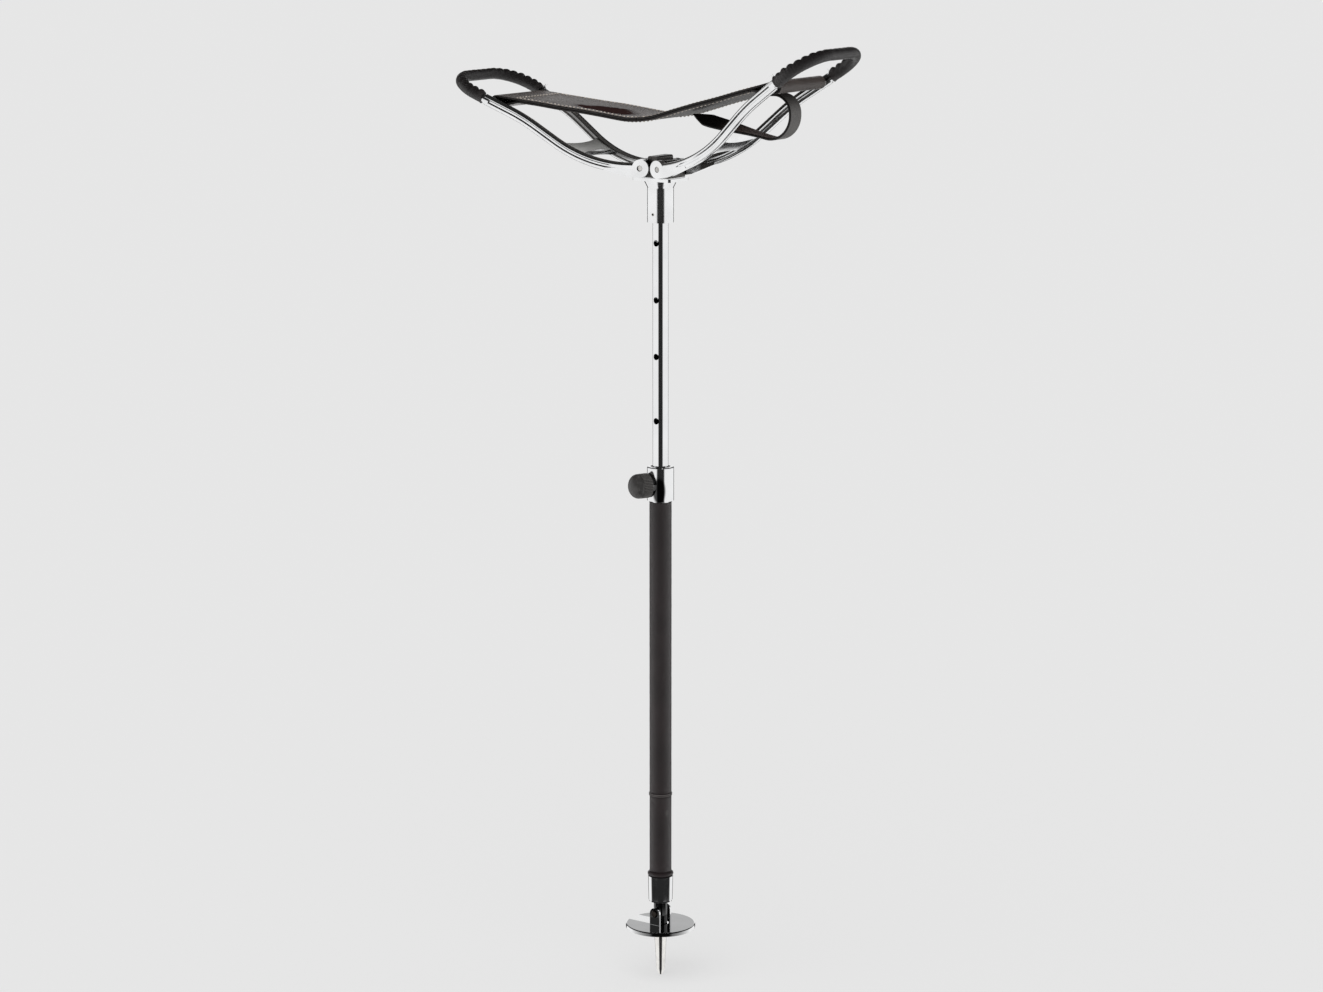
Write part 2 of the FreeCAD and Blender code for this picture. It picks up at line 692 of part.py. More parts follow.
def frame_seat(name, side):
    """Where a frame, drawn from its hinge along +X, lies on the head."""
    lift = FreeCAD.Rotation(AXIS_Y, -side * value(name + "_lift"))
    facing = FreeCAD.Rotation(AXIS_Z, 0 if side > 0 else 180)
    return FreeCAD.Placement(hinge_point(side), lift * facing)


def arm_corners():
    """The corners of an arm's line in its own upright plane, from the hinge to the grip."""
    bend = value("arm_bend_up")
    first = polar(value("arm_root"), 0)
    second = first + polar(value("arm_rise"), bend)
    return [Vector(0, 0, 0), first, second, second + polar(value("arm_tip"), bend - value("arm_bend_down"))]


def arm_line():
    """The line of an arm with its two bends."""
    return rounded_path(arm_corners(), [value("arm_bend_up_radius"), value("arm_bend_down_radius")])


def arm_point(corner, hand):
    """A point of an arm's plane set out on the frame, for the arm on the +Y or -Y hand."""
    spread = FreeCAD.Rotation(AXIS_Z, hand * value("arm_spread"))
    return spread.multVec(corner) + AXIS_Y * (hand * value("ear_centre"))


def arm_section():
    """The arm's fluted section round its line's start: crowned top and foot, a groove on each face."""
    half = value("arm_width") / 2
    top = value("arm_height") / 2
    shoulder = top - value("arm_crown")
    groove = value("arm_groove_height") / 2
    floor = half - value("arm_groove_depth")
    slope = value("arm_groove_depth") / 2
    face = [(half, shoulder), (half, groove + slope), (floor, groove - slope),
            (floor, slope - groove), (half, -groove - slope), (half, -shoulder)]
    edges = []
    for turn in (1, -1):
        points = [Vector(0, turn * y, turn * z) for y, z in face]
        edges += [Part.LineSegment(a, b).toShape() for a, b in zip(points, points[1:])]
        crown = Part.Arc(points[-1], Vector(0, 0, -turn * top), Vector(0, -points[-1].y, points[-1].z))
        edges.append(crown.toShape())
    return Part.Wire(edges)


def loop_path():
    """The rod of the grip loop, from inside one arm's end round to the other's."""
    corners = arm_corners()
    heading = (corners[3] - corners[2]).normalize()
    inside = corners[3] - heading * (value("arm_height") / 2)
    outside = corners[3] + heading * value("loop_reach")
    points = [arm_point(inside, 1), arm_point(outside, 1), arm_point(outside, -1), arm_point(inside, -1)]
    return rounded_path(points, [value("loop_corner_radius")] * 2)


def rod(path, radius):
    """A round rod along a path."""
    start = path.OrderedEdges[0]
    tangent = start.tangentAt(start.FirstParameter)
    return swept(path, Part.Wire(Part.makeCircle(radius, path.OrderedVertexes[0].Point, tangent)))


def crossbar_point():
    """The sling bar's middle on the frame, set back from where the grip leather starts."""
    corners = arm_corners()
    heading = (corners[3] - corners[2]).normalize()
    line_point = corners[3] - heading * value("crossbar_setback")
    spot = arm_point(line_point, 1)
    return Vector(spot.x, 0, spot.z), spot.y


def brace_web():
    """The web between the arms: a plate that bends with their lines, with hollowed ends."""
    path = arm_line()
    thickness = value("brace_thickness")
    stations = path.discretize(Distance=1.0)
    start = value("brace_start")
    near = stations[int(start)]
    far = stations[int(start + value("brace_length"))]
    corners = [arm_point(near, 1), arm_point(far, 1), arm_point(far, -1), arm_point(near, -1)]
    corners = [Vector(corner.x, corner.y, -thickness) for corner in corners]
    arch = polar(value("brace_arch"), 0)
    far_middle = (corners[1] + corners[2]) / 2 - arch
    near_middle = (corners[3] + corners[0]) / 2 + arch
    edges = [
        Part.LineSegment(corners[0], corners[1]).toShape(),
        Part.Arc(corners[1], far_middle, corners[2]).toShape(),
        Part.LineSegment(corners[2], corners[3]).toShape(),
        Part.Arc(corners[3], near_middle, corners[0]).toShape(),
    ]
    plan = Part.Face(Part.Wire(edges)).extrude(AXIS_Z * (far.z + 2 * thickness))
    return strip(path, thickness, 2 * corners[1].y).common(plan)


def arm_root():
    """The plain root of an arm: the hinge disc, the filled end of the groove, and the heel, whose flat
    underside meets the head's flange when the seat is open."""
    thickness = value("arm_width + 2 * arm_plain_proud")
    foot = value("stop_gap - hinge_rise")
    underside = -value("arm_height") / 2 + value("arm_crown")
    heel = [(0, 0), (0, foot), (value("heel_flat"), foot), (value("heel_length"), underside),
            (value("heel_length"), 0), (0, 0)]
    fill = value("(arm_groove_height + arm_groove_depth) / 2 + arm_plain_margin")
    line = [point for point in arm_line().discretize(Distance=2.0) if point.x < value("arm_plain_high")]
    lower = [(point.x, point.z - fill) for point in line if point.x < value("arm_plain_low")]
    upper = [(point.x, point.z + fill) for point in line]
    filled = lower + upper[::-1] + lower[:1]
    pieces = [Part.makeCylinder(value("ear_radius"), thickness, AXIS_Y * (-thickness / 2), AXIS_Y)]
    for outline in (heel, filled):
        face = Part.Face(Part.makePolygon([Vector(x, -thickness / 2, z) for x, z in outline]))
        pieces.append(face.extrude(AXIS_Y * thickness))
    return pieces


def frame_casting():
    """One frame in one piece: two hinge ears, two fluted arms, the web and the grip's rod."""
    pieces = [brace_web(), rod(loop_path(), value("loop_rod_radius"))]
    arm = swept(arm_line(), arm_section())
    for hand in (1, -1):
        ear_start = AXIS_Y * (hand * value("ear_centre - frame_ear_thickness / 2"))
        pieces.append(Part.makeCylinder(value("frame_ear_boss_radius"), value("frame_ear_boss"), ear_start,
                                        AXIS_Y * hand))
        turn = FreeCAD.Rotation(AXIS_Z, hand * value("arm_spread"))
        root = FreeCAD.Placement(AXIS_Y * (hand * value("ear_centre")), turn)
        for shape in [arm] + arm_root():
            pieces.append(shape.transformed(root.toMatrix(), True))
    casting = pieces[0].fuse(pieces[1:])
    reach = 2 * value("ear_centre")
    pin_hole = Part.makeCylinder(value("hinge_pin_radius + running_clearance"), 2 * reach,
                                 AXIS_Y * -reach, AXIS_Y)
    middle, half = crossbar_point()
    bar_hole = Part.makeCylinder(value("crossbar_radius + fixed_clearance"), 2 * half,
                                 middle - AXIS_Y * half, AXIS_Y)
    inner_face = value("ear_centre - frame_ear_thickness / 2")
    root_length = value(BLOCK_LENGTH)
    head_room = Part.makeBox(2 * root_length, 2 * inner_face, 2 * root_length,
                             Vector(-root_length, -inner_face, -root_length))
    return casting.cut([pin_hole, bar_hole, head_room]).removeSplitter()


def grip_tube():
    """Leather sewn round the grip's rod, from arm end to arm end."""
    corners = arm_corners()
    heading = (corners[3] - corners[2]).normalize()
    start = corners[3] + heading * (value("arm_height") / 4)
    outside = corners[3] + heading * value("loop_reach")
    points = [arm_point(start, 1), arm_point(outside, 1), arm_point(outside, -1), arm_point(start, -1)]
    path = rounded_path(points, [value("loop_corner_radius")] * 2)
    inner = value("loop_rod_radius + fixed_clearance")
    return rod(path, inner + value("grip_leather")).cut(rod(path, inner))


# The two folding frames, each with its sling bar and its leather grip.
def make_frames():
    casting = frame_casting()
    grip = grip_tube()
    middle, half = crossbar_point()
    for name, side in SIDES.items():
        seat = frame_seat(name, side)
        solid(name + "_frame", casting, seat)
        solid(name + "_grip_leather", grip, seat)
        start = seat.multVec(middle - AXIS_Y * half)
        along = seat.Rotation.multVec(AXIS_Y)
        bar(name + "_crossbar", "crossbar_radius", str(2 * half), start, along)


def tangent_point(outside, centre, radius, above):
    """Where a line from a point outside a circle in the XZ plane touches it, above or below."""
    span = centre - outside
    turn = math.degrees(math.asin(radius / span.Length))
    left = span.x < 0
    sign = -1 if above != left else 1
    heading = FreeCAD.Rotation(AXIS_Y, sign * turn).multVec(span).normalize()
    return outside + heading * math.sqrt(span.Length ** 2 - radius ** 2)


def sling_points():
    """The middle line of the seat leather: over the left bar, the low corner, over the right bar."""
    bars = {name: frame_seat(name, side).multVec(crossbar_point()[0]) for name, side in SIDES.items()}
    radius = value("crossbar_radius + soft_gap + sling_leather / 2")
    low = (bars["left"] + bars["right"]) / 2
    low = Vector(0, 0, low.z - value("sling_drop") + radius)
    ends = {name: tangent_point(low, centre, radius, True) for name, centre in bars.items()}
    return bars, ends, low


def below(points, depth):
    """A three-point line moved down, square to both of its runs."""
    normals = []
    for a, b in zip(points, points[1:]):
        normals.append((b - a).cross(AXIS_Y).normalize())
    down = [normal if normal.z < 0 else normal * -1 for normal in normals]
    bisector = (down[0] + down[1]).normalize()
    return [points[0] + down[0] * depth,
            points[1] + bisector * (depth / bisector.dot(down[0])),
            points[2] + down[1] * depth]


# Leather seat: the main sheet with its ends looped round the bars, and the lining sewn below it.
def make_seat():
    leather = value("sling_leather")
    width = 2 * value("sling_half_width")
    bend = value("sling_bend_radius")
    bars, ends, low = sling_points()
    inner = value("crossbar_radius + soft_gap")
    line = [ends["left"], low, ends["right"]]
    sheet_shape = strip(rounded_path(line, [bend]), leather, width)
    parts = []
    lining_ends = {}
    for name, centre in bars.items():
        start = centre - AXIS_Y * (width / 2)
        loop = Part.makeCylinder(inner + leather, width, start, AXIS_Y)
        eye = Part.makeCylinder(inner, width, start, AXIS_Y)
        inboard = (low - ends[name]).normalize()
        down = inboard.cross(AXIS_Y).normalize()
        down = down if down.z < 0 else down * -1
        seam = ends[name] + inboard * value("sling_flap")
        flap_end = seam + down * leather
        touch = tangent_point(flap_end, centre, inner + leather / 2, False)
        flap = strip(Part.Wire([Part.LineSegment(touch, flap_end).toShape()]), leather, width)
        parts += [loop.cut(eye), flap.cut(eye)]
        lining_ends[name] = seam + inboard * leather
    solid("seat_leather", sheet_shape.fuse(parts).removeSplitter())
    lining = below([lining_ends["left"], low, lining_ends["right"]], leather + value("fixed_clearance"))
    solid("seat_lining", strip(rounded_path(lining, [bend + leather]), leather, width))
    make_strap(bars["right"], ends["right"], low)


def make_strap(centre, end, low):
    """The closing strap: sewn under the seat by the right bar, looped back below it to a pointed tongue."""
    leather = value("strap_leather")
    width = value("strap_width")
    inboard = (low - end).normalize()
    down = inboard.cross(AXIS_Y).normalize()
    down = down if down.z < 0 else down * -1
    depth = value("1.5 * sling_leather + fixed_clearance + soft_gap") + leather / 2
    root = end + inboard * value("sling_flap + sling_leather + strap_sewn") + down * depth
    top = centre + Vector(-value("strap_loop_inset"), 0, -value("strap_under_bar"))
    foot = top - AXIS_Z * value("strap_loop_drop")
    run = foot + Vector(-value("strap_run"), 0, value("strap_run_rise"))
    tip = run + Vector(-value("strap_tongue"), 0, value("strap_tongue_rise"))
    radii = [value("strap_loop_radius"), value("strap_foot_radius"), value("strap_tongue_radius")]
    path = rounded_path([root, top, foot, run, tip], radii)
    band = strip(path, leather, width)
    back = tip + (run - tip).normalize() * value("strap_point")
    keep = [Vector(back.x, width, 0), Vector(back.x, width / 2, 0), Vector(tip.x, 0, 0),
            Vector(back.x, -width / 2, 0), Vector(back.x, -width, 0)]
    beyond = tip.x - width
    outline = keep + [Vector(beyond, -width, 0), Vector(beyond, width, 0), keep[0]]
    waste = Part.Face(Part.makePolygon(outline)).extrude(AXIS_Z * (2 * centre.z))
    solid("closing_strap", band.cut(waste))


make_foot()
make_stick()
make_lock()
make_upper()
make_frames()
make_seat()
doc.recompute()

NODES = [
    "ground_plate", "foot_hub", "spike", "plate_pin", "ferrule",
    "outer_tube", "end_welt", "lower_leather_sleeve", "middle_welt", "upper_leather_sleeve",
    "height_collar", "collar_bush", "plunger_barrel", "plunger_spring", "plunger_pin", "lock_knob",
    "inner_tube", "lower_guide_bush", "tube_plug", "seat_head", "head_roll_pin",
    "left_hinge_pin", "right_hinge_pin",
    "left_frame", "left_crossbar", "left_grip_leather",
    "right_frame", "right_crossbar", "right_grip_leather",
    "seat_leather", "seat_lining", "closing_strap",
]

for item in doc.Objects:
    if "Invalid" in item.State or "Error" in item.State:
        raise RuntimeError("%s failed: %s" % (item.Label, item.State))

pieces = {}
for node in NODES:
    piece = doc.getObjectsByLabel(node)[0]
    if piece.Shape.isNull() or not piece.Shape.isValid() or not piece.Shape.Solids:
        raise RuntimeError("%s has no valid solid" % node)
    pieces[node] = piece.Shape

os.makedirs("parts", exist_ok=True)
for node, shape in pieces.items():
    shape.exportStep("parts/%s.step" % node)
    print("%-22s solids %d  volume %.1f mm3" % (node, len(shape.Solids), shape.Volume))
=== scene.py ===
"""Looks of the walking stick seat: leather, thread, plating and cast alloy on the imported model."""
import json
import math

import bmesh
import bpy
from bpy.props import FloatProperty, FloatVectorProperty, IntProperty, PointerProperty
from mathutils import Matrix, Vector, noise


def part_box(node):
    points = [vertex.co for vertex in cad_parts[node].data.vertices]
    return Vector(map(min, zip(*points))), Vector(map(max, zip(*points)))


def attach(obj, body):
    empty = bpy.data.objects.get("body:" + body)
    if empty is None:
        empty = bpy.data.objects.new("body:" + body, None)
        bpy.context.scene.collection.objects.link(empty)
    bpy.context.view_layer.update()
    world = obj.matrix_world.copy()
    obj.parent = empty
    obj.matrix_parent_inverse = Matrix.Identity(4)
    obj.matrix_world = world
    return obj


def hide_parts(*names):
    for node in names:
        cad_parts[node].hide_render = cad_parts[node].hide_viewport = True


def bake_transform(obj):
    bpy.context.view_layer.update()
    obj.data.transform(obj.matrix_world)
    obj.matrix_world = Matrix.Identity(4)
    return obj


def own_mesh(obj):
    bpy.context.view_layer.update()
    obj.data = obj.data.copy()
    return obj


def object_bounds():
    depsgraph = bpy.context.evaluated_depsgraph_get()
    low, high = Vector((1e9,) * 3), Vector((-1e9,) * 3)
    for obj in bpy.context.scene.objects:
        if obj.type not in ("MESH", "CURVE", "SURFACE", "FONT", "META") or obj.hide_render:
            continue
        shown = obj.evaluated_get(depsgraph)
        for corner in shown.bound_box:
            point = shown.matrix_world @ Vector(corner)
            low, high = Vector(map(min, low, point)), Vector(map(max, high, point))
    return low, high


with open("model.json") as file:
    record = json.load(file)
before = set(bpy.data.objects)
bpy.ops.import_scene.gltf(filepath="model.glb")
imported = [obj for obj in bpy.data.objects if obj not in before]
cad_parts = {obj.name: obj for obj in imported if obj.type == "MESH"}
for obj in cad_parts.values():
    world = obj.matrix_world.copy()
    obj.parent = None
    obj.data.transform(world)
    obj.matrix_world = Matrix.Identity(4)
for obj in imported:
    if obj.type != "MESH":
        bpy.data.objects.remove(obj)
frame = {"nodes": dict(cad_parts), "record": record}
CAD_BOX = [list(corner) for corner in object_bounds()]

bl_info = {
    "name": "Walking Stick Seat",
    "version": (1, 0, 0),
    "blender": (4, 5, 0),
    "location": "View3D > Sidebar > Stick Seat",
    "description": "Dresses the walking stick seat in leather, thread, plating and cast alloy",
    "category": "Object",
}

SIDES = {"left": -1, "right": 1}
UP = Vector((0, 0, 1))
ALONG_Y = Vector((0, 1, 0))
# Level direction from the stick towards the camera, where the plate rim's painted shade is strongest.
FRONT = (0.574, -0.819, 0)
BAR_ROOM = 0.0003
PLATE_TOP = 0.0047
FLANGE_TOP = (0.7758, 0.7764)
SEAT_STITCH = (0.0030, 0.0017, 0.0017)
WHIP_STITCH = (0.0036, 0.0008, 0.0009)
# Each cut thread end's lean along the grip, curl across it and length.
THREAD_ENDS = ((0.55, 0.5, 0.0052), (-0.2, -0.7, 0.0038), (0.9, 0.1, 0.0045))
# Each crease's middle angle round the sleeve, its rise per radian and its height.
CREASES = ((-1.95, 0.0052, 0.1499), (-2.2, 0.0046, 0.1529), (-1.8, -0.005, 0.1359),
           (-2.4, -0.0042, 0.1379), (-0.5, 0.0036, 0.1476))


def length(label, description, default):
    """A size of the stick seat, in metres."""
    return FloatProperty(name=label, description=description, default=default, unit="LENGTH",
                         subtype="DISTANCE", precision=5)


def turn(label, description, degrees):
    """An angle of the stick seat, given in degrees."""
    return FloatProperty(name=label, description=description, default=math.radians(degrees),
                         unit="ROTATION", subtype="ANGLE")


def amount(label, description, default):
    """A plain number."""
    return FloatProperty(name=label, description=description, default=default)


def colour(label, description, default):
    """A colour in linear light."""
    return FloatVectorProperty(name=label, description=description, default=default, size=3,
                               subtype="COLOR", min=0.0, max=1.0)


class StageSettings(bpy.types.PropertyGroup):
    """The studio round the stick seat."""
    camera_distance: length("Camera distance", "From the stick to the camera, along the floor", 3.436)
    camera_height: length("Camera height", "Above the ground plate's underside", 1.129)
    camera_turn: turn("Camera turn", "Round the stick from the side of the lock holes", 35.0)
    camera_dip: turn("Camera dip", "Below level", 11.12)
    camera_aim: turn("Camera aim", "Sideways off the stick", -0.0165)
    camera_lens: amount("Lens", "Focal length on a 36 mm sensor", 94.48)
    background: amount("Background", "Grey of the floor and the surroundings", 0.791)
    sky: amount("Sky", "Soft light from all round", 0.62)
    key: amount("Key", "Soft lamp from above and the camera's left", 1.35)
    shadow: amount("Shadow", "Share of the object's shadow that the floor shows", 0.35)
    flag_turn: turn("Flag turn", "Where the dark panel stands that the plating mirrors", -54.0)
    flag_width: turn("Flag width", "Half the width of that panel", 30.0)


class FrameSettings(bpy.types.PropertyGroup):
    """The folding frames' line, as the castings have it."""
    hinge_half: length("Hinge spacing", "From the stick axis to a hinge pin", 0.0105)
    hinge_height: length("Hinge height", "Above the ground plate's underside", 0.7852)
    left_lift: turn("Left lift", "How far the left frame stands above level", -0.8)
    right_lift: turn("Right lift", "How far the right frame stands above level", 9.7)
    ear_centre: length("Ear centre", "From the seat's middle plane to an arm's root", 0.0175)
    spread: turn("Arm spread", "How far each arm turns outwards", 10.3)
    tip_out: length("Arm reach", "From the hinge to the arm's end, along its root", 0.172352)
    tip_up: length("Arm rise", "From the hinge to the arm's end, above its root", 0.064697)
    tip_slope: turn("Arm end slope", "Of the grip against the arm's root", 23.7)
    bar_setback: length("Bar setback", "From the arm's end back to the sling bar", 0.007)
    bar_radius: length("Bar radius", "Of the sling bar", 0.004)


class GripSettings(bpy.types.PropertyGroup):
    """Leather sewn round the grip loops."""
    start: length("Start", "From the arm's end to the leather's end", 0.00275)
    reach: length("Reach", "From the arm's end to the loop's corner", 0.0498)
    corner: length("Corner", "Radius of the loop's corners", 0.033)
    inner: length("Inner radius", "Of the leather tube", 0.0043)
    outer: length("Outer radius", "Of the leather tube", 0.00567)
    pucker: length("Pucker", "Height of the seam's bumps near the leather's ends", 0.0023)
    pitch: length("Pitch", "From one whip stitch to the next", 0.0078)
    leather: colour("Leather", "Of the grips", (0.013, 0.011, 0.011))


class SeatSettings(bpy.types.PropertyGroup):
    """The sling: two layers of leather between the bars."""
    leather: length("Leather", "Thickness of each layer", 0.0021)
    half_width: length("Half width", "From the middle to a long edge", 0.0401)
    low: length("Drop", "From the bars' mean height to the sling's low corner", 0.0299)
    bend: length("Bend", "Radius of the sling's low corner", 0.1)
    flap: length("Flap", "From the bar to the turned-under end", 0.028)
    edge_row: length("Edge row", "From a long edge to its row of stitches", 0.0052)
    pitch: length("Pitch", "From one stitch to the next", 0.0046)
    top: colour("Top", "Dressed face of the leather", (0.078, 0.063, 0.057))
    # Painted shade: the patch is a darker, less glossy place on the seat's top that stands in for a missing
    # reflection.
    patch: colour("Patch", "Where the seat has darkened", (0.026, 0.012, 0.0115))
    underside: colour("Underside", "Back of the leather", (0.052, 0.047, 0.043))
    thread: colour("Thread", "Of the stitch rows", (0.66, 0.59, 0.52))


class StrapSettings(bpy.types.PropertyGroup):
    """The closing strap below the seat's right end."""
    width: length("Width", "Of the strap", 0.02)
    leather: length("Leather", "Thickness of the strap", 0.0024)
    sewn: length("Sewn length", "Of the strap under the seat", 0.014)
    under_bar: length("Under the bar", "From the right bar down to the loop's top", 0.0092)
    inset: length("Loop inset", "From the right bar inwards to the loop", 0.003)
    drop: length("Loop drop", "Height of the hanging loop", 0.0485)
    corner: length("Corner", "Radius of the loop's upper corner", 0.018)
    foot_corner: length("Foot corner", "Radius of the loop's lower corner", 0.0235)
    run: length("Run", "From the loop's foot to the tongue", 0.096)
    run_rise: length("Run rise", "Of the run from the loop's foot", 0.0175)
    tongue: length("Tongue", "Length of the upturned end", 0.0225)
    tongue_rise: length("Tongue rise", "Of the upturned end", 0.006)
    tongue_bend: length("Tongue bend", "Radius where the end turns up", 0.1)
    point: length("Point", "Length of the free end's point", 0.018)
    twist: turn("Twist", "How far the free end has turned over", -24.0)
    outside: colour("Outside", "Grained face of the strap", (0.125, 0.118, 0.112))
    inside: colour("Inside", "Flesh side of the strap", (0.11, 0.078, 0.070))


class SleeveSettings(bpy.types.PropertyGroup):
    """Leather round the outer tube."""
    radius: length("Radius", "Of the leather's outside", 0.01125)
    tube: length("Tube", "Radius of the tube inside it", 0.01)
    leather: colour("Leather", "Of the sleeves", (0.022, 0.0155, 0.016))


class KnobSettings(bpy.types.PropertyGroup):
    """The ribbed pull knob."""
    azimuth: turn("Azimuth", "Where the knob points, from the seat's right end", -115.0)
    height: length("Height", "Of the knob's axis", 0.466)
    foot: length("Foot", "From the stick axis to the knob's foot", 0.0147)
    ribbed: length("Ribbed length", "Of the knob", 0.0106)
    dome: length("Dome", "Height of the rounded end", 0.0102)
    radius: length("Radius", "Of the knob", 0.0125)
    pull: length("Pull", "How far the knob draws out", 0.005)
    groove: length("Groove", "Radius of the grooves between the ribs", 0.00055)
    ribs: IntProperty(name="Ribs", description="Round the knob", default=48, min=3)
    plastic: colour("Plastic", "Of the knob", (0.034, 0.032, 0.031))


class StickSeatSettings(bpy.types.PropertyGroup):
    """All settings of the stick seat."""
    stage: PointerProperty(type=StageSettings)
    frames: PointerProperty(type=FrameSettings)
    grips: PointerProperty(type=GripSettings)
    seat: PointerProperty(type=SeatSettings)
    strap: PointerProperty(type=StrapSettings)
    sleeves: PointerProperty(type=SleeveSettings)
    knob: PointerProperty(type=KnobSettings)


class Graph:
    """A node tree as it is put together."""

    def __init__(self, tree):
        self.tree = tree

    def node(self, kind, inputs=None, **settings):
        """A node with its settings made and its inputs linked or set."""
        made = self.tree.nodes.new(kind)
        for name, setting in settings.items():
            setattr(made, name, setting)
        for name, given in (inputs or {}).items():
            socket = made.inputs[name]
            if isinstance(given, bpy.types.NodeSocket):
                self.tree.links.new(given, socket)
            else:
                socket.default_value = given
        return made

    def spread(self, source, low, high, to_low=0.0, to_high=1.0, smooth=False):
        """A value moved from one range to another."""
        sockets = {"Value": source, "From Min": low, "From Max": high, "To Min": to_low, "To Max": to_high}
        kind = "SMOOTHSTEP" if smooth else "LINEAR"
        return self.node("ShaderNodeMapRange", sockets, interpolation_type=kind).outputs["Result"]

    def reckon(self, operation, first, second=0.0):
        """Arithmetic on values."""
        return self.node("ShaderNodeMath", {0: first, 1: second}, operation=operation).outputs[0]

    def times(self, first, second):
        """A product of two values."""
        return self.reckon("MULTIPLY", first, second)

    def aim(self, operation, first, second=(0, 0, 0)):
        """Arithmetic on places and directions."""
        made = self.node("ShaderNodeVectorMath", {0: first, 1: second}, operation=operation)
        return made.outputs["Value" if operation in {"DOT_PRODUCT", "LENGTH"} else "Vector"]

    def along(self, axis, source):
        """One coordinate of a place or direction."""
        return self.node("ShaderNodeSeparateXYZ", {0: source}).outputs[axis]


class Finish(Graph):
    """A procedural finish: a material's node tree with its shader."""

    def __init__(self, name, base, roughness, metallic=0.0):
        self.material = bpy.data.materials.new(name)
        self.material.use_nodes = True
        super().__init__(self.material.node_tree)
        self.shader = self.tree.nodes["Principled BSDF"]
        self.shader.inputs["Base Color"].default_value = (*base, 1.0)
        self.shader.inputs["Roughness"].default_value = roughness
        self.shader.inputs["Metallic"].default_value = metallic
        self.place = self.node("ShaderNodeTexCoord").outputs["Object"]

    def use(self, name, source):
        """Feeds one of the shader's sockets."""
        self.tree.links.new(source, self.shader.inputs[name])

    def from_uv(self):
        """Takes the pattern from the piece's own UV map, in metres along and round it."""
        self.place = self.node("ShaderNodeTexCoord").outputs["UV"]

    def facing(self, axis):
        """One coordinate of the surface's direction, in the piece's own axes."""
        return self.along(axis, self.node("ShaderNodeTexCoord").outputs["Normal"])

    def stretched(self, scale):
        """The pattern's place, scaled by axis."""
        return self.node("ShaderNodeMapping", {"Vector": self.place, "Scale": scale}).outputs[0]

    def cloud(self, scale, detail=4.0, rough=0.55, at=None):
        """Smooth noise from 0 to 1."""
        sockets = {"Vector": at or self.place, "Scale": scale, "Detail": detail, "Roughness": rough}
        return self.node("ShaderNodeTexNoise", sockets).outputs["Fac"]

    def pebbles(self, scale, at=None):
        """Distance to the nearest line between grain cells."""
        sockets = {"Vector": at or self.place, "Scale": scale}
        cells = self.node("ShaderNodeTexVoronoi", sockets, feature="DISTANCE_TO_EDGE")
        return cells.outputs["Distance"]

    def between(self, share, first, second):
        """A colour between two colours."""
        made = self.node("ShaderNodeMix", {0: share}, data_type="RGBA")
        for index, given in ((6, first), (7, second)):
            if isinstance(given, bpy.types.NodeSocket):
                self.tree.links.new(given, made.inputs[index])
            else:
                made.inputs[index].default_value = (*given, 1.0)
        return made.outputs[2]

    def relief(self, height, depth, strength=1.0, over=None):
        """Raises the surface by a height, on top of another relief."""
        sockets = {"Height": height, "Distance": depth, "Strength": strength}
        if over:
            sockets["Normal"] = over
        return self.node("ShaderNodeBump", sockets).outputs["Normal"]


def shade(base, factor):
    """A colour made darker or lighter."""
    return tuple(min(1.0, part * factor) for part in base)


def away_from_middle(finish):
    """How far a face looks away from the seat's middle plane."""
    side = finish.reckon("SIGN", finish.along("Y", finish.place))
    return finish.times(finish.facing("Y"), side)


def plate_edge_shade(finish):
    """Painted shade and dark reflection on the front of the ground plate's rim and the outer faces of its lugs;
    the rim's is strongest on the camera's side.
    """
    lug = finish.spread(away_from_middle(finish), 0.8, 0.9)
    raised = finish.reckon("GREATER_THAN", finish.along("Z", finish.place), PLATE_TOP)
    flat = finish.aim("MULTIPLY", finish.place, (1, 1, 0))
    rim = finish.spread(finish.aim("LENGTH", flat), 0.0350, 0.0354)
    level = finish.aim("NORMALIZE", flat)
    front = finish.spread(finish.aim("DOT_PRODUCT", level, FRONT), 0.55, 0.95)
    rim = finish.times(rim, finish.times(front, 0.9))
    return finish.reckon("MAXIMUM", finish.times(lug, raised), rim)


def boss_shade(finish):
    """Painted shade and dark reflection on the collar round its boss, on the side where the tube's holes are.
    """
    spot = finish.aim("SUBTRACT", finish.place, (0.0066, -0.0121, 0.461))
    away = finish.aim("LENGTH", finish.aim("MULTIPLY", spot, (135.0, 135.0, 66.0)))
    return finish.spread(away, 0.7, 1.05, 1.0, 0.0, True)


def plating(name, tint, low, high, darkened=None):
    """Bright plating with faint smears, hairlines and pits; where a mask is given, painted near black there as
    shade and dark reflection.
    """
    finish = Finish(name, tint, low, metallic=1.0)
    smear = finish.cloud(34.0, 5.0, 0.6)
    hairline = finish.cloud(1.0, 3.0, 0.6, finish.stretched((900.0, 900.0, 45.0)))
    pit = finish.spread(finish.cloud(420.0, 2.0), 0.74, 0.80)
    tone = finish.between(finish.spread(smear, 0.35, 0.7), tint, shade(tint, 0.93))
    tone = finish.between(pit, tone, shade(tint, 0.45))
    # Painted shade and dark reflection: the mask's places take a near-black tone.
    if darkened:
        tone = finish.between(darkened(finish), tone, shade(tint, 0.07))
    finish.use("Base Color", tone)
    gloss = finish.spread(smear, 0.3, 0.75, low, high)
    gloss = finish.reckon("ADD", gloss, finish.times(pit, 0.3))
    finish.use("Roughness", gloss)
    finish.use("Normal", finish.relief(hairline, 0.000006, 0.5))
    return finish.material


def inner_faces(finish):
    """Where a frame's two arms face each other."""
    return finish.spread(away_from_middle(finish), -0.86, -0.95)


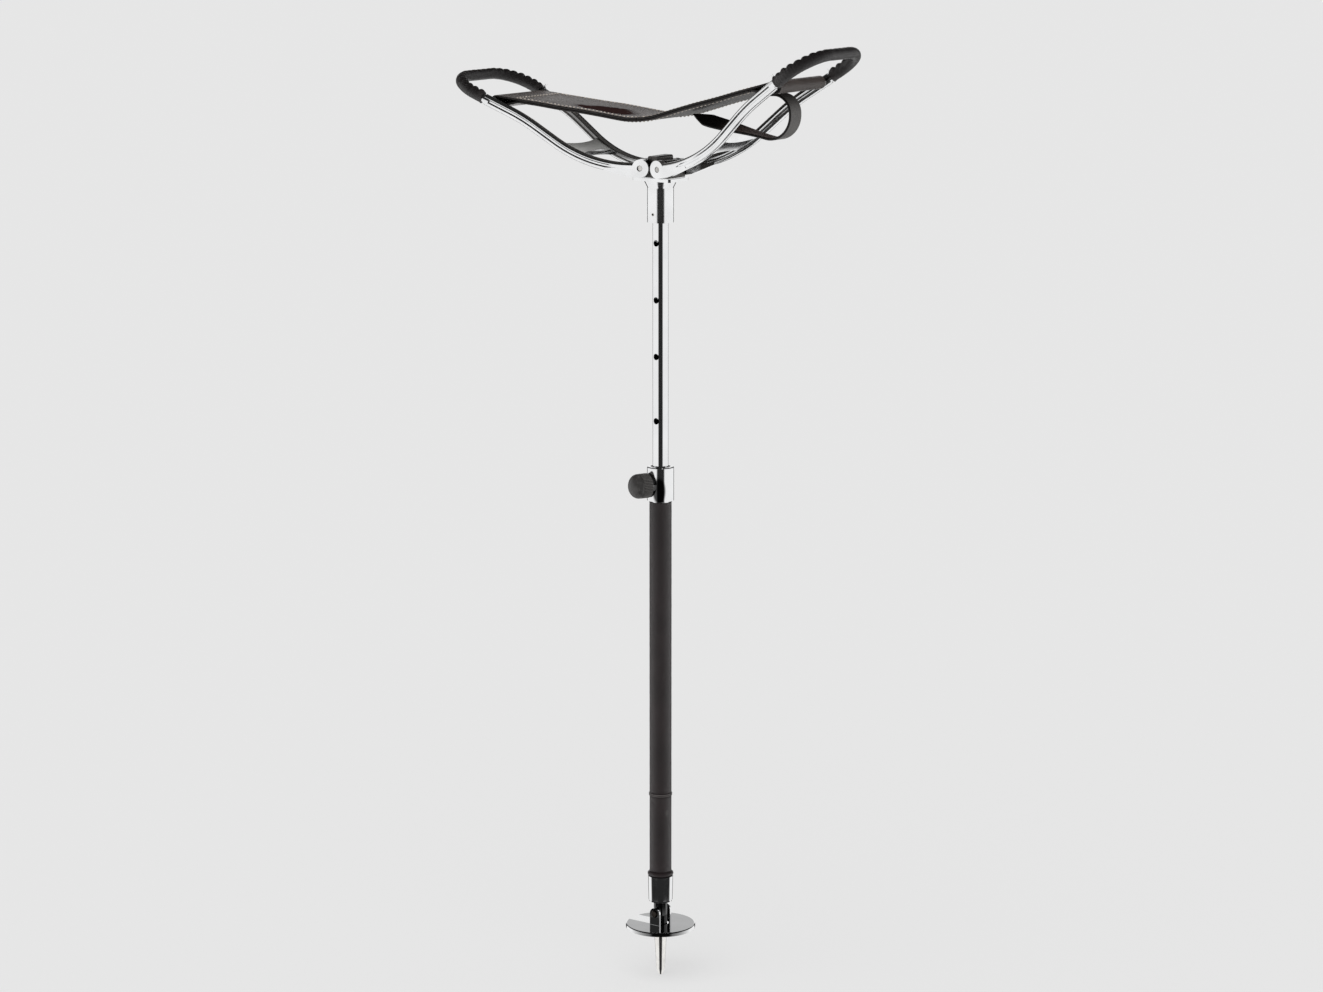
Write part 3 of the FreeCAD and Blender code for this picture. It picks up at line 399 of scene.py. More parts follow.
def left_skin_and_shade(finish):
    """Inner faces: polished at the roots up to a height, dull and painted dark as shade above it and further
    out; faces that look downwards stay polished and bright.
    """
    height = finish.spread(finish.along("Z", finish.place), 0.783, 0.7905)
    reach = finish.spread(finish.along("X", finish.place), -0.062, -0.08)
    dull = finish.times(inner_faces(finish), finish.reckon("MAXIMUM", height, reach))
    return finish.times(dull, finish.spread(finish.facing("Z"), -0.1, 0.02))


def right_skin_and_shade(finish):
    """Inner faces, dull and painted dark as shade from a little way out of the hinge."""
    beyond = finish.spread(finish.along("X", finish.place), 0.03, 0.036)
    return finish.times(inner_faces(finish), beyond)


def web_top(finish):
    """The upper face of a frame's web, between the arms."""
    away = finish.reckon("ABSOLUTE", finish.along("Y", finish.place))
    out = finish.reckon("ABSOLUTE", finish.along("X", finish.place))
    arm = finish.reckon("ADD", finish.times(out, 0.18), 0.0125)
    upper = finish.spread(finish.facing("Z"), 0.6, 0.75)
    between_arms = finish.times(finish.reckon("LESS_THAN", away, arm), upper)
    return finish.times(between_arms, finish.reckon("GREATER_THAN", out, 0.06))


def hinge_block_shade(finish):
    """The head above its flange, between the ears, dull and painted dark as shade."""
    return finish.spread(finish.along("Z", finish.place), *FLANGE_TOP)


def cast_alloy(name, tint, skin_and_shade_mask):
    """Polished castings: soft waves from the polishing, scratches, and a dull skin where they stay as cast,
    painted near black as shade.
    The web's upper face is made pale and dull, darkening towards its upper end as painted shade."""
    finish = Finish(name, tint, 0.16, metallic=1.0)
    wave = finish.cloud(55.0, 2.0, 0.4)
    grain = finish.cloud(900.0, 3.0, 0.6)
    scratch = finish.cloud(1.0, 4.0, 0.65, finish.stretched((60.0, 700.0, 500.0)))
    tone = finish.between(finish.spread(wave, 0.35, 0.7), tint, shade(tint, 0.9))
    skin_and_shade = skin_and_shade_mask(finish)
    # The skin's near-black colour is painted shade, far darker than cast metal.
    skin = finish.between(finish.spread(grain, 0.35, 0.65), (0.05, 0.048, 0.046), (0.11, 0.105, 0.10))
    pale_web = web_top(finish)
    # Painted shade: the web's pale face darkens towards its upper end.
    out = finish.reckon("ABSOLUTE", finish.along("X", finish.place))
    ragged = finish.reckon("ADD", out, finish.spread(grain, 0.3, 0.7, -0.002, 0.002))
    web_shade = finish.spread(ragged, 0.086, 0.108)
    pale = finish.between(web_shade, (0.86, 0.86, 0.84), (0.10, 0.10, 0.085))
    finish.use("Base Color", finish.between(pale_web, finish.between(skin_and_shade, tone, skin), pale))
    finish.use("Metallic", finish.spread(pale_web, 0.0, 1.0, 1.0, 0.15))
    worn = finish.spread(scratch, 0.4, 0.7, 0.09, 0.2)
    dull = finish.reckon("ADD", finish.times(skin_and_shade, 0.22), finish.times(pale_web, 0.35))
    finish.use("Roughness", finish.reckon("ADD", worn, dull))
    relief = finish.relief(wave, 0.0003, 0.25)
    relief = finish.relief(grain, 0.00001, 0.3, relief)
    finish.use("Normal", finish.relief(scratch, 0.000005, 0.3, relief))
    return finish.material


def bare_steel(name, tint, low=0.2, high=0.42, stained=0.62):
    """Turned steel with fine rings, oil stains and a dull skin."""
    finish = Finish(name, tint, 0.3, metallic=1.0)
    stain = finish.cloud(130.0, 5.0, 0.65)
    rings = finish.cloud(1.0, 2.0, 0.5, finish.stretched((30.0, 30.0, 2600.0)))
    tone = finish.between(finish.spread(stain, 0.42, 0.72), tint, shade(tint, stained))
    finish.use("Base Color", tone)
    finish.use("Roughness", finish.spread(stain, 0.3, 0.75, low, high))
    finish.use("Normal", finish.relief(rings, 0.0001 * low, 0.5))
    return finish.material


def moulded(name, tint, dusty):
    """Moulded plastic with a fine skin, handling marks and rib crests painted lighter as a highlight."""
    finish = Finish(name, tint, 0.4)
    mottle = finish.cloud(210.0, 5.0, 0.6)
    skin = finish.cloud(2600.0, 2.0, 0.5)
    tone = finish.between(finish.spread(mottle, 0.5, 0.8), tint, dusty)
    # Painted highlight: where the attribute is set, as on the knob's rib crests, the colour is lighter.
    wear_and_highlight = finish.node("ShaderNodeAttribute", attribute_name="wear_and_highlight").outputs["Fac"]
    finish.use("Base Color", finish.between(wear_and_highlight, tone, shade(dusty, 1.7)))
    finish.use("Roughness", finish.spread(mottle, 0.3, 0.75, 0.3, 0.5))
    finish.use("Normal", finish.relief(skin, 0.00003, 0.35))
    return finish.material


def leather(name, base, grain, gloss, specular, patch=None, row=None):
    """Dressed leather: pebbled grain whose furrows are darkened as painted shade, fine pores, creases, mottling
    and places made pale where the piece's attribute marks them. A patch is its place, its scale, its colour and
    its specular level; on the seat it is painted shade, on the sleeves a scuff. A row is the middle of the
    pattern across the piece and the reach from there to the stitches, which lie in a darker line."""
    finish = Finish(name, base, gloss[0])
    finish.from_uv()
    mottle = finish.cloud(26.0, 6.0, 0.62)
    cells = finish.pebbles(1.0 / grain)
    pores = finish.cloud(3.2 / grain, 3.0, 0.6)
    drift = finish.node("ShaderNodeTexNoise", {"Vector": finish.place, "Scale": 90.0}).outputs["Color"]
    crease = finish.pebbles(0.16 / grain, finish.aim("ADD", finish.place, drift))
    tone = finish.between(finish.spread(mottle, 0.32, 0.7), shade(base, 0.72), shade(base, 1.32))
    finish.shader.inputs["Specular IOR Level"].default_value = specular
    # On the seat the patch is painted shade, darker and less glossy; on the sleeves it is a scuff.
    if patch:
        spot = finish.aim("SUBTRACT", finish.node("ShaderNodeTexCoord").outputs["Object"], patch[0])
        away = finish.aim("LENGTH", finish.aim("MULTIPLY", spot, patch[1]))
        ragged = finish.reckon("ADD", away, finish.spread(mottle, 0.3, 0.7, -0.3, 0.3))
        inside = finish.spread(ragged, 0.75, 1.15, 1.0, 0.0, True)
        tone = finish.between(inside, tone, patch[2])
        finish.use("Specular IOR Level", finish.spread(inside, 0.0, 1.0, specular, patch[3]))
    if row:
        across = finish.reckon("SUBTRACT", finish.along("Y", finish.place), row[0])
        off = finish.reckon("SUBTRACT", row[1], finish.reckon("ABSOLUTE", across))
        off = finish.reckon("ABSOLUTE", off)
        tone = finish.between(finish.spread(off, 0.0006, 0.001, 0.45, 0.0), tone, shade(base, 0.25))
    # Painted shade: the furrows between the grain's pebbles are darkened.
    furrow = finish.spread(cells, 0.0, 0.16, 1.0, 0.0)
    tone = finish.between(finish.times(furrow, 0.55), tone, shade(base, 0.4))
    # Places marked by the attribute are made pale: the grips' ends and the welt's crests.
    wear_and_highlight = finish.node("ShaderNodeAttribute", attribute_name="wear_and_highlight").outputs["Fac"]
    wear_and_highlight = finish.times(wear_and_highlight, finish.spread(mottle, 0.3, 0.65, 0.15, 1.0))
    tone = finish.between(wear_and_highlight, tone, shade(base, 3.2))
    finish.use("Base Color", tone)
    finish.use("Roughness", finish.spread(pores, 0.3, 0.75, gloss[0], gloss[1]))
    relief = finish.relief(finish.spread(cells, 0.0, 0.3), grain * 0.22, 0.6)
    relief = finish.relief(pores, grain * 0.12, 0.5, relief)
    finish.use("Normal", finish.relief(finish.spread(crease, 0.0, 0.08), grain * 0.25, 0.35, relief))
    return finish.material


def flesh_side(name, base, dark_from=None):
    """The back of the leather: nap, long pull marks, stains and, past a reach along it, a near-black colour."""
    finish = Finish(name, base, 0.55)
    finish.from_uv()
    pulls = finish.cloud(1.0, 4.0, 0.6, finish.stretched((22.0, 330.0, 1.0)))
    nap = finish.cloud(1500.0, 3.0, 0.6)
    stain = finish.cloud(24.0, 5.0, 0.6)
    tone = finish.between(finish.spread(pulls, 0.36, 0.64), shade(base, 0.55), shade(base, 1.4))
    tone = finish.between(finish.spread(stain, 0.45, 0.75, 0.0, 0.7), tone, shade(base, 0.4))
    if dark_from:
        tone = finish.between(finish.spread(finish.along("X", finish.place), dark_from, dark_from + 0.03),
                              tone, (0.008, 0.006, 0.006))
    finish.use("Base Color", tone)
    finish.use("Roughness", finish.spread(nap, 0.3, 0.7, 0.42, 0.66))
    finish.use("Normal", finish.relief(nap, 0.00009, 0.5, finish.relief(pulls, 0.00018, 0.5)))
    finish.shader.inputs["Specular IOR Level"].default_value = 0.3
    return finish.material


def cut_edge(name, base):
    """Burnished edges of cut leather, with the layers showing."""
    finish = Finish(name, base, 0.4)
    dents = finish.cloud(420.0, 4.0, 0.6)
    layers = finish.cloud(1.0, 2.0, 0.5, finish.stretched((70.0, 3000.0, 3000.0)))
    tone = finish.between(finish.spread(layers, 0.38, 0.66), shade(base, 0.6), shade(base, 1.5))
    finish.use("Base Color", finish.between(finish.spread(dents, 0.55, 0.8), tone, shade(base, 2.2)))
    finish.use("Roughness", finish.spread(dents, 0.3, 0.7, 0.36, 0.6))
    finish.use("Normal", finish.relief(dents, 0.00012, 0.6))
    finish.shader.inputs["Specular IOR Level"].default_value = 0.3
    return finish.material


def strap_hide(name, base):
    """The strap's outside: a fine slanting grain on a worn grey-brown."""
    finish = Finish(name, base, 0.5)
    finish.from_uv()
    mottle = finish.cloud(70.0, 5.0, 0.6)
    slant = finish.node("ShaderNodeMapping", {"Vector": finish.place, "Rotation": (0, 0, math.radians(38)),
                                              "Scale": (1500.0, 420.0, 1.0)}).outputs[0]
    threads = finish.cloud(1.0, 3.0, 0.6, slant)
    tone = finish.between(finish.spread(mottle, 0.3, 0.7), shade(base, 0.72), shade(base, 1.25))
    tone = finish.between(finish.spread(threads, 0.4, 0.62), shade(base, 0.5), tone)
    finish.use("Base Color", tone)
    finish.use("Roughness", finish.spread(threads, 0.3, 0.7, 0.42, 0.62))
    finish.use("Normal", finish.relief(threads, 0.00012, 0.7))
    return finish.material


def sewing_thread(name, base):
    """Waxed thread with its twist and some dirt."""
    finish = Finish(name, base, 0.55)
    dirt = finish.cloud(160.0, 4.0, 0.6)
    twist = finish.cloud(1.0, 2.0, 0.5, finish.stretched((2400.0, 5200.0, 2400.0)))
    tone = finish.between(finish.spread(dirt, 0.35, 0.7), base, shade(base, 0.42))
    finish.use("Base Color", tone)
    finish.use("Roughness", finish.spread(dirt, 0.3, 0.7, 0.45, 0.7))
    finish.use("Normal", finish.relief(twist, 0.00008, 0.6))
    return finish.material


def add_piece(name, mesh):
    """A piece of the object, with its place in its mesh."""
    piece = bpy.data.objects.new(name, mesh)
    bpy.context.scene.collection.objects.link(piece)
    return piece


def loft(name, rows, finishes, looped=False, finish_of=None, wear_and_highlight=None):
    """A skin through rows of points, each row closed round the piece; the ends are closed unless it loops."""
    count = len(rows[0])
    mesh = bmesh.new()
    uv = mesh.loops.layers.uv.new("Pattern")
    wear = mesh.verts.layers.float.new("wear_and_highlight")
    grid = [[mesh.verts.new(point) for point in row] for row in rows]
    along = [0.0]
    for near, far in zip(rows, rows[1:]):
        along.append(along[-1] + sum((b - a).length for a, b in zip(near, far)) / count)
    widest = max(rows, key=lambda row: (row[0] - row[count // 2]).length)
    around = [0.0]
    for index in range(count):
        around.append(around[-1] + (widest[(index + 1) % count] - widest[index]).length)
    pairs = list(range(len(rows) - 1)) + ([len(rows) - 1] if looped else [])
    for near in pairs:
        far = (near + 1) % len(rows)
        for index in range(count):
            after = (index + 1) % count
            face = mesh.faces.new((grid[near][index], grid[near][after], grid[far][after], grid[far][index]))
            face.smooth = True
            if finish_of:
                face.material_index = finish_of(near, index)
            reach = along[far] if far else along[-1]
            spots = ((along[near], around[index]), (along[near], around[index + 1]),
                     (reach, around[index + 1]), (reach, around[index]))
            for corner, spot in zip(face.loops, spots):
                corner[uv].uv = spot
    if not looped:
        for row, station in ((grid[0], along[0]), (grid[-1], along[-1])):
            face = mesh.faces.new(row)
            for index, corner in enumerate(face.loops):
                corner[uv].uv = (station, around[index])
    if wear_and_highlight:
        for near, row in enumerate(grid):
            for index, vertex in enumerate(row):
                vertex[wear] = wear_and_highlight(near, index)
    bmesh.ops.recalc_face_normals(mesh, faces=mesh.faces)
    made = bpy.data.meshes.new(name)
    mesh.to_mesh(made)
    mesh.free()
    for finish in finishes:
        made.materials.append(finish)
    return add_piece(name, made)


def rounded_line(corners, radii, step):
    """Stations about one step apart, each a point and its heading, along runs joined by tangent arcs."""
    stations = []
    last = corners[0]
    for index, radius in enumerate(radii, start=1):
        corner = corners[index]
        heading = (corner - corners[index - 1]).normalized()
        ahead = (corners[index + 1] - corner).normalized()
        half_turn = heading.angle(ahead) / 2
        start = corner - heading * (radius * math.tan(half_turn))
        centre = corner + (ahead - heading).normalized() * (radius / math.cos(half_turn))
        stations += straight(last, start, step)
        outward = (start - centre).normalized()
        parts = max(2, round(2 * half_turn * radius / step))
        for part in range(parts):
            angle = 2 * half_turn * part / parts
            spoke = outward * math.cos(angle) + heading * math.sin(angle)
            stations.append((centre + spoke * radius,
                             heading * math.cos(angle) - outward * math.sin(angle)))
        last = corner + ahead * (radius * math.tan(half_turn))
    stations += straight(last, corners[-1], step)
    stations.append((corners[-1], (corners[-1] - last).normalized()))
    return stations


def straight(start, end, step):
    """Stations along a run, without its end."""
    heading = (end - start).normalized()
    parts = max(1, round((end - start).length / step))
    return [(start.lerp(end, part / parts), heading) for part in range(parts)]


def run_length(line):
    """The length of a line of stations."""
    return sum((far[0] - near[0]).length for near, far in zip(line, line[1:]))


def band_section(half, thickness, count):
    """Round a flat band's section from one edge: across and up for each point, upper face first."""
    edge = thickness * 0.42
    flat = half - edge
    top = [(-flat + 2 * flat * index / count, thickness / 2) for index in range(count + 1)]
    turned = [(flat + edge * math.sin(angle), thickness / 2 * math.cos(angle))
              for angle in (math.pi * part / 6 for part in range(1, 6))]
    foot = [(-across, -up) for across, up in top]
    back = [(-across, -up) for across, up in turned]
    return top + turned + foot + back


def band_face(index, count):
    """Which finish a face of a band takes: its upper face, an edge or its lower face."""
    if index % (count + 6) >= count:
        return 1
    return 0 if index < count else 2


def stitch_tree(name):
    """Geometry nodes that set a stitch at each pitch along a sewn line."""
    tree = bpy.data.node_groups.new(name, "GeometryNodeTree")
    panel = tree.interface
    panel.new_socket("Geometry", in_out="INPUT", socket_type="NodeSocketGeometry")
    for label in ("Pitch", "Length", "Width", "Height"):
        panel.new_socket(label, in_out="INPUT", socket_type="NodeSocketFloat")
    panel.new_socket("Thread", in_out="INPUT", socket_type="NodeSocketMaterial")
    panel.new_socket("Geometry", in_out="OUTPUT", socket_type="NodeSocketGeometry")
    add = Graph(tree).node
    given = add("NodeGroupInput").outputs
    line = add("GeometryNodeMeshToCurve", {"Mesh": given["Geometry"]})
    spots = add("GeometryNodeCurveToPoints", {"Curve": line.outputs[0], "Length": given["Pitch"]},
                mode="LENGTH")
    way = add("GeometryNodeInputNamedAttribute", {"Name": "stitch_way"}, data_type="FLOAT_VECTOR")
    raised = add("GeometryNodeInputNamedAttribute", {"Name": "stitch_up"}, data_type="FLOAT_VECTOR")
    lay = add("FunctionNodeAlignRotationToVector", {"Vector": way.outputs[0]}, axis="X")
    stand = add("FunctionNodeAlignRotationToVector",
                {"Rotation": lay.outputs[0], "Vector": raised.outputs[0]}, axis="Z", pivot_axis="X")
    bead = add("GeometryNodeMeshUVSphere", {"Segments": 8, "Rings": 6, "Radius": 0.5})
    size = add("ShaderNodeCombineXYZ", {"X": given["Length"], "Y": given["Width"], "Z": given["Height"]})
    shaped = add("GeometryNodeTransform", {"Geometry": bead.outputs[0], "Scale": size.outputs[0]})
    smooth = add("GeometryNodeSetShadeSmooth", {"Geometry": shaped.outputs[0]})
    sewn = add("GeometryNodeInstanceOnPoints", {"Points": spots.outputs[0], "Instance": smooth.outputs[0],
                                                "Rotation": stand.outputs[0]})
    real = add("GeometryNodeRealizeInstances", {"Geometry": sewn.outputs[0]})
    waxed = add("GeometryNodeSetMaterial", {"Geometry": real.outputs[0], "Material": given["Thread"]})
    add("NodeGroupOutput", {0: waxed.outputs[0]})
    return tree


def sew(name, lines, size, pitch, thread):
    """Stitches along lines of stations, each a point, the stitch's heading and the side it stands on."""
    base = bpy.data.meshes.new(name + "_line")
    points, edges, ways, ups = [], [], [], []
    for line in lines:
        first = len(points)
        for point, way, up in line:
            points.append(point)
            ways.append(way)
            ups.append(up)
        edges += [(index, index + 1) for index in range(first, len(points) - 1)]
    base.from_pydata(points, edges, [])
    for label, values in (("stitch_way", ways), ("stitch_up", ups)):
        layer = base.attributes.new(label, "FLOAT_VECTOR", "POINT")
        layer.data.foreach_set("vector", [part for value in values for part in value])
    piece = add_piece(name + "_line", base)
    tree = stitch_tree(name + "_stitches")
    setting = piece.modifiers.new("Stitches", "NODES")
    setting.node_group = tree
    values = {"Pitch": pitch, "Length": size[0], "Width": size[1], "Height": size[2], "Thread": thread}
    for socket in tree.interface.items_tree:
        if socket.in_out == "INPUT" and socket.name in values:
            setting[socket.identifier] = values[socket.name]
    graph = bpy.context.evaluated_depsgraph_get()
    sewn = bpy.data.meshes.new_from_object(piece.evaluated_get(graph))
    bpy.data.objects.remove(piece)
    if not sewn.polygons:
        raise RuntimeError("no stitches were made for %s" % name)
    sewn.name = name
    return add_piece(name, sewn)


def settings():
    """The scene's settings of the stick seat."""
    return bpy.context.scene.stick_seat


def frame_place(name):
    """Where a frame, drawn from its hinge along +X, lies on the head."""
    sizes = settings().frames
    side = SIDES[name]
    lift = sizes.right_lift if side > 0 else sizes.left_lift
    facing = Matrix.Rotation(0 if side > 0 else math.pi, 4, "Z")
    hinge = Matrix.Translation((side * sizes.hinge_half, 0, sizes.hinge_height))
    return hinge @ Matrix.Rotation(-side * lift, 4, "Y") @ facing


def beyond_arm(reach, hand):
    """A point past an arm's end along the grip, on the +Y or -Y hand of a frame."""
    sizes = settings().frames
    out = sizes.tip_out + reach * math.cos(sizes.tip_slope)
    rise = sizes.tip_up + reach * math.sin(sizes.tip_slope)
    aside = hand * (sizes.ear_centre + out * math.sin(sizes.spread))
    return Vector((out * math.cos(sizes.spread), aside, rise))


def bar_centre(name):
    """The middle of a frame's sling bar."""
    spot = beyond_arm(-settings().frames.bar_setback, 1)
    return frame_place(name) @ Vector((spot.x, 0, spot.z))


def sling_line():
    """The sling's middle radius round a bar, the bars' middles and the sling's low corner."""
    seat = settings().seat
    radius = settings().frames.bar_radius + BAR_ROOM + seat.leather / 2
    bars = {name: bar_centre(name) for name in SIDES}
    low = Vector((0, 0, (bars["left"].z + bars["right"].z) / 2 - seat.low + radius))
    return radius, bars, low


def below_sling(end, low):
    """From where the sling leaves a bar: the heading inwards along it and the one square below it."""
    inboard = (low - end).normalized()
    down = inboard.cross(ALONG_Y).normalized()
    return inboard, down if down.z < 0 else -down


def seat_wave(reach, across):
    """Slight waviness of the seat's leather, none at its middle and by the bars."""
    wave = 0.0009 * noise.noise(Vector((reach * 22, across * 22, 7.0))) * min(1.0, reach / 0.02)
    return wave * max(0.0, min(1.0, (0.15 - reach) / 0.03))


class STICKSEAT_OT_stage(bpy.types.Operator):
    """Sets up the floor, the studio light and the camera"""
    bl_idname = "stick_seat.stage"
    bl_label = "Studio"

    def execute(self, context):
        stage = settings().stage
        scene = context.scene
        scene.view_settings.view_transform = "Standard"
        camera = bpy.data.cameras.new("Camera")
        camera.lens = stage.camera_lens
        camera.sensor_width = 36.0
        camera.clip_end = 100.0
        eye = bpy.data.objects.new("Camera", camera)
        heading = stage.camera_turn
        eye.location = (stage.camera_distance * math.sin(heading),
                        -stage.camera_distance * math.cos(heading), stage.camera_height)
        eye.rotation_euler = (math.pi / 2 - stage.camera_dip, 0, heading + stage.camera_aim)
        scene.collection.objects.link(eye)
        scene.camera = eye

        lamp = bpy.data.lights.new("Key", "SUN")
        lamp.energy = stage.key
        lamp.angle = math.radians(70)
        key = bpy.data.objects.new("Key", lamp)
        key.rotation_euler = (math.radians(32), math.radians(-18), heading)
        key.visible_glossy = False
        scene.collection.objects.link(key)
        self.make_world(scene, stage)
        self.make_floor(stage)
        return {"FINISHED"}

    @staticmethod
    def surroundings(graph, place, stage, ground):
        """Brightness of the studio as bright metal mirrors it: pale walls and floor, a dark panel before the
        stick, two narrow ones behind it, a dark camera side and ceiling, and a dark cloth on the floor."""
        flat = graph.aim("MULTIPLY", place, (1, 1, 0))
        level = graph.aim("NORMALIZE", flat)
        dark = 0.0
        behind = math.radians(152)
        for offset, share in ((0.0, 1.0), (behind, 0.3), (-behind, 0.3)):
            bearing = stage.flag_turn + offset
            half = stage.flag_width * share
            facing = graph.aim("DOT_PRODUCT", level, (math.cos(bearing), math.sin(bearing), 0))
            panel = graph.spread(facing, math.cos(half * 1.25), math.cos(half * 0.8), smooth=True)
            dark = graph.reckon("MAXIMUM", panel, dark)
        ahead = graph.aim("DOT_PRODUCT", level, (math.sin(stage.camera_turn), -math.cos(stage.camera_turn), 0))
        if ground:
            reach = graph.aim("LENGTH", flat)
            cloth = graph.times(graph.spread(reach, 0.2, 0.235, smooth=True),
                                 graph.spread(reach, 0.345, 0.365, 1.0, 0.0, smooth=True))
            shut = graph.times(cloth, graph.spread(ahead, -0.2, 0.1, smooth=True))
        else:
            lift = graph.along("Z", place)
            front = graph.times(graph.spread(ahead, 0.1, 0.5, smooth=True),
                                 graph.spread(lift, 0.04, 0.1, smooth=True))
            shut = graph.reckon("MAXIMUM", front, graph.spread(lift, 0.14, 0.48, smooth=True))
        return graph.spread(graph.reckon("MAXIMUM", dark, shut), 0.0, 1.0, 0.97, 0.02)

    def make_world(self, scene, stage):
        world = bpy.data.worlds.new("Studio")
        world.use_nodes = True
        scene.world = world
        graph = Graph(world.node_tree)
        ray = graph.node("ShaderNodeLightPath").outputs
        place = graph.node("ShaderNodeTexCoord").outputs["Generated"]
        mirrored = graph.reckon("MAXIMUM", ray["Is Glossy Ray"], ray["Is Transmission Ray"])
        seen = self.surroundings(graph, place, stage, False)
        lit = graph.node("ShaderNodeMix", {0: mirrored, 2: stage.sky, 3: seen}).outputs[0]
        shown = graph.node("ShaderNodeMix", {0: ray["Is Camera Ray"], 2: lit, 3: stage.background}).outputs[0]
        light = graph.tree.nodes["Background"]
        light.inputs["Color"].default_value = (1, 1, 1, 1)
        graph.tree.links.new(shown, light.inputs["Strength"])

    def make_floor(self, stage):
        reach = 40.0
        foot = CAD_BOX[0][2]
        mesh = bpy.data.meshes.new("Floor")
        corners = [(-reach, -reach, foot), (reach, -reach, foot), (reach, reach, foot), (-reach, reach, foot)]
        mesh.from_pydata(corners, [], [(0, 1, 2, 3)])
        finish = Finish("Studio floor", (0.825, 0.825, 0.825), 0.9)
        finish.shader.inputs["Specular IOR Level"].default_value = 0.0
        even = finish.node("ShaderNodeEmission", {"Strength": stage.background})
        plain = finish.node("ShaderNodeMixShader", {0: stage.shadow, 1: even.outputs[0],
                                                    2: finish.shader.outputs[0]})
        seen = self.surroundings(finish, finish.place, stage, True)
        mirror = finish.node("ShaderNodeEmission", {"Strength": seen})
        ray = finish.node("ShaderNodeLightPath")
        mixed = finish.node("ShaderNodeMixShader", {0: ray.outputs["Is Glossy Ray"],
                                                    1: plain.outputs[0], 2: mirror.outputs[0]})
        finish.tree.links.new(mixed.outputs[0], finish.tree.nodes["Material Output"].inputs["Surface"])
        mesh.materials.append(finish.material)
        add_piece("Floor", mesh)


class STICKSEAT_OT_metal(bpy.types.Operator):
    """Finishes the plated, cast, turned and moulded parts"""
    bl_idname = "stick_seat.metal"
    bl_label = "Metal and nylon"

    def execute(self, context):
        chrome = (0.86, 0.865, 0.87)
        alloy = (0.88, 0.885, 0.89)
        finishes = {
            "plated_steel": plating("Bright plating", chrome, 0.045, 0.11),
            "bare_steel": bare_steel("Turned steel", (0.70, 0.685, 0.66)),
            "nylon": moulded("Black nylon", (0.02, 0.02, 0.02), (0.05, 0.05, 0.05)),
        }
        own = {
            "left_frame": cast_alloy("Left frame casting", alloy, left_skin_and_shade),
            "right_frame": cast_alloy("Right frame casting", alloy, right_skin_and_shade),
            "seat_head": cast_alloy("Head casting", alloy, hinge_block_shade),
            "ground_plate": plating("Plate plating", chrome, 0.045, 0.11, plate_edge_shade),
            "height_collar": plating("Collar plating", chrome, 0.045, 0.11, boss_shade),
            # The hub's plating is painted near black: painted shade between the lugs.
            "foot_hub": plating("Hub plating", shade(chrome, 0.1), 0.06, 0.14),
            # The plate pin's steel is painted near black, as painted shade matching the dark lug round it.
            "plate_pin": bare_steel("Plate pin steel", (0.055, 0.047, 0.042)),
            "spike": bare_steel("Bright spike", (0.86, 0.845, 0.815), 0.1, 0.2, 0.82),
        }
        for part in frame["record"]["subparts"]:
            finish = own.get(part["node"]) or finishes.get(part["material_slot"])
            if finish:
                node = frame["nodes"][part["node"]]
                node.data.materials.clear()
                node.data.materials.append(finish)
        self.close_spring(frame["nodes"]["plunger_spring"])
        return {"FINISHED"}

    @staticmethod
    def close_spring(spring):
        """Gives the lock's spring a mesh of its own."""
        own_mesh(spring)


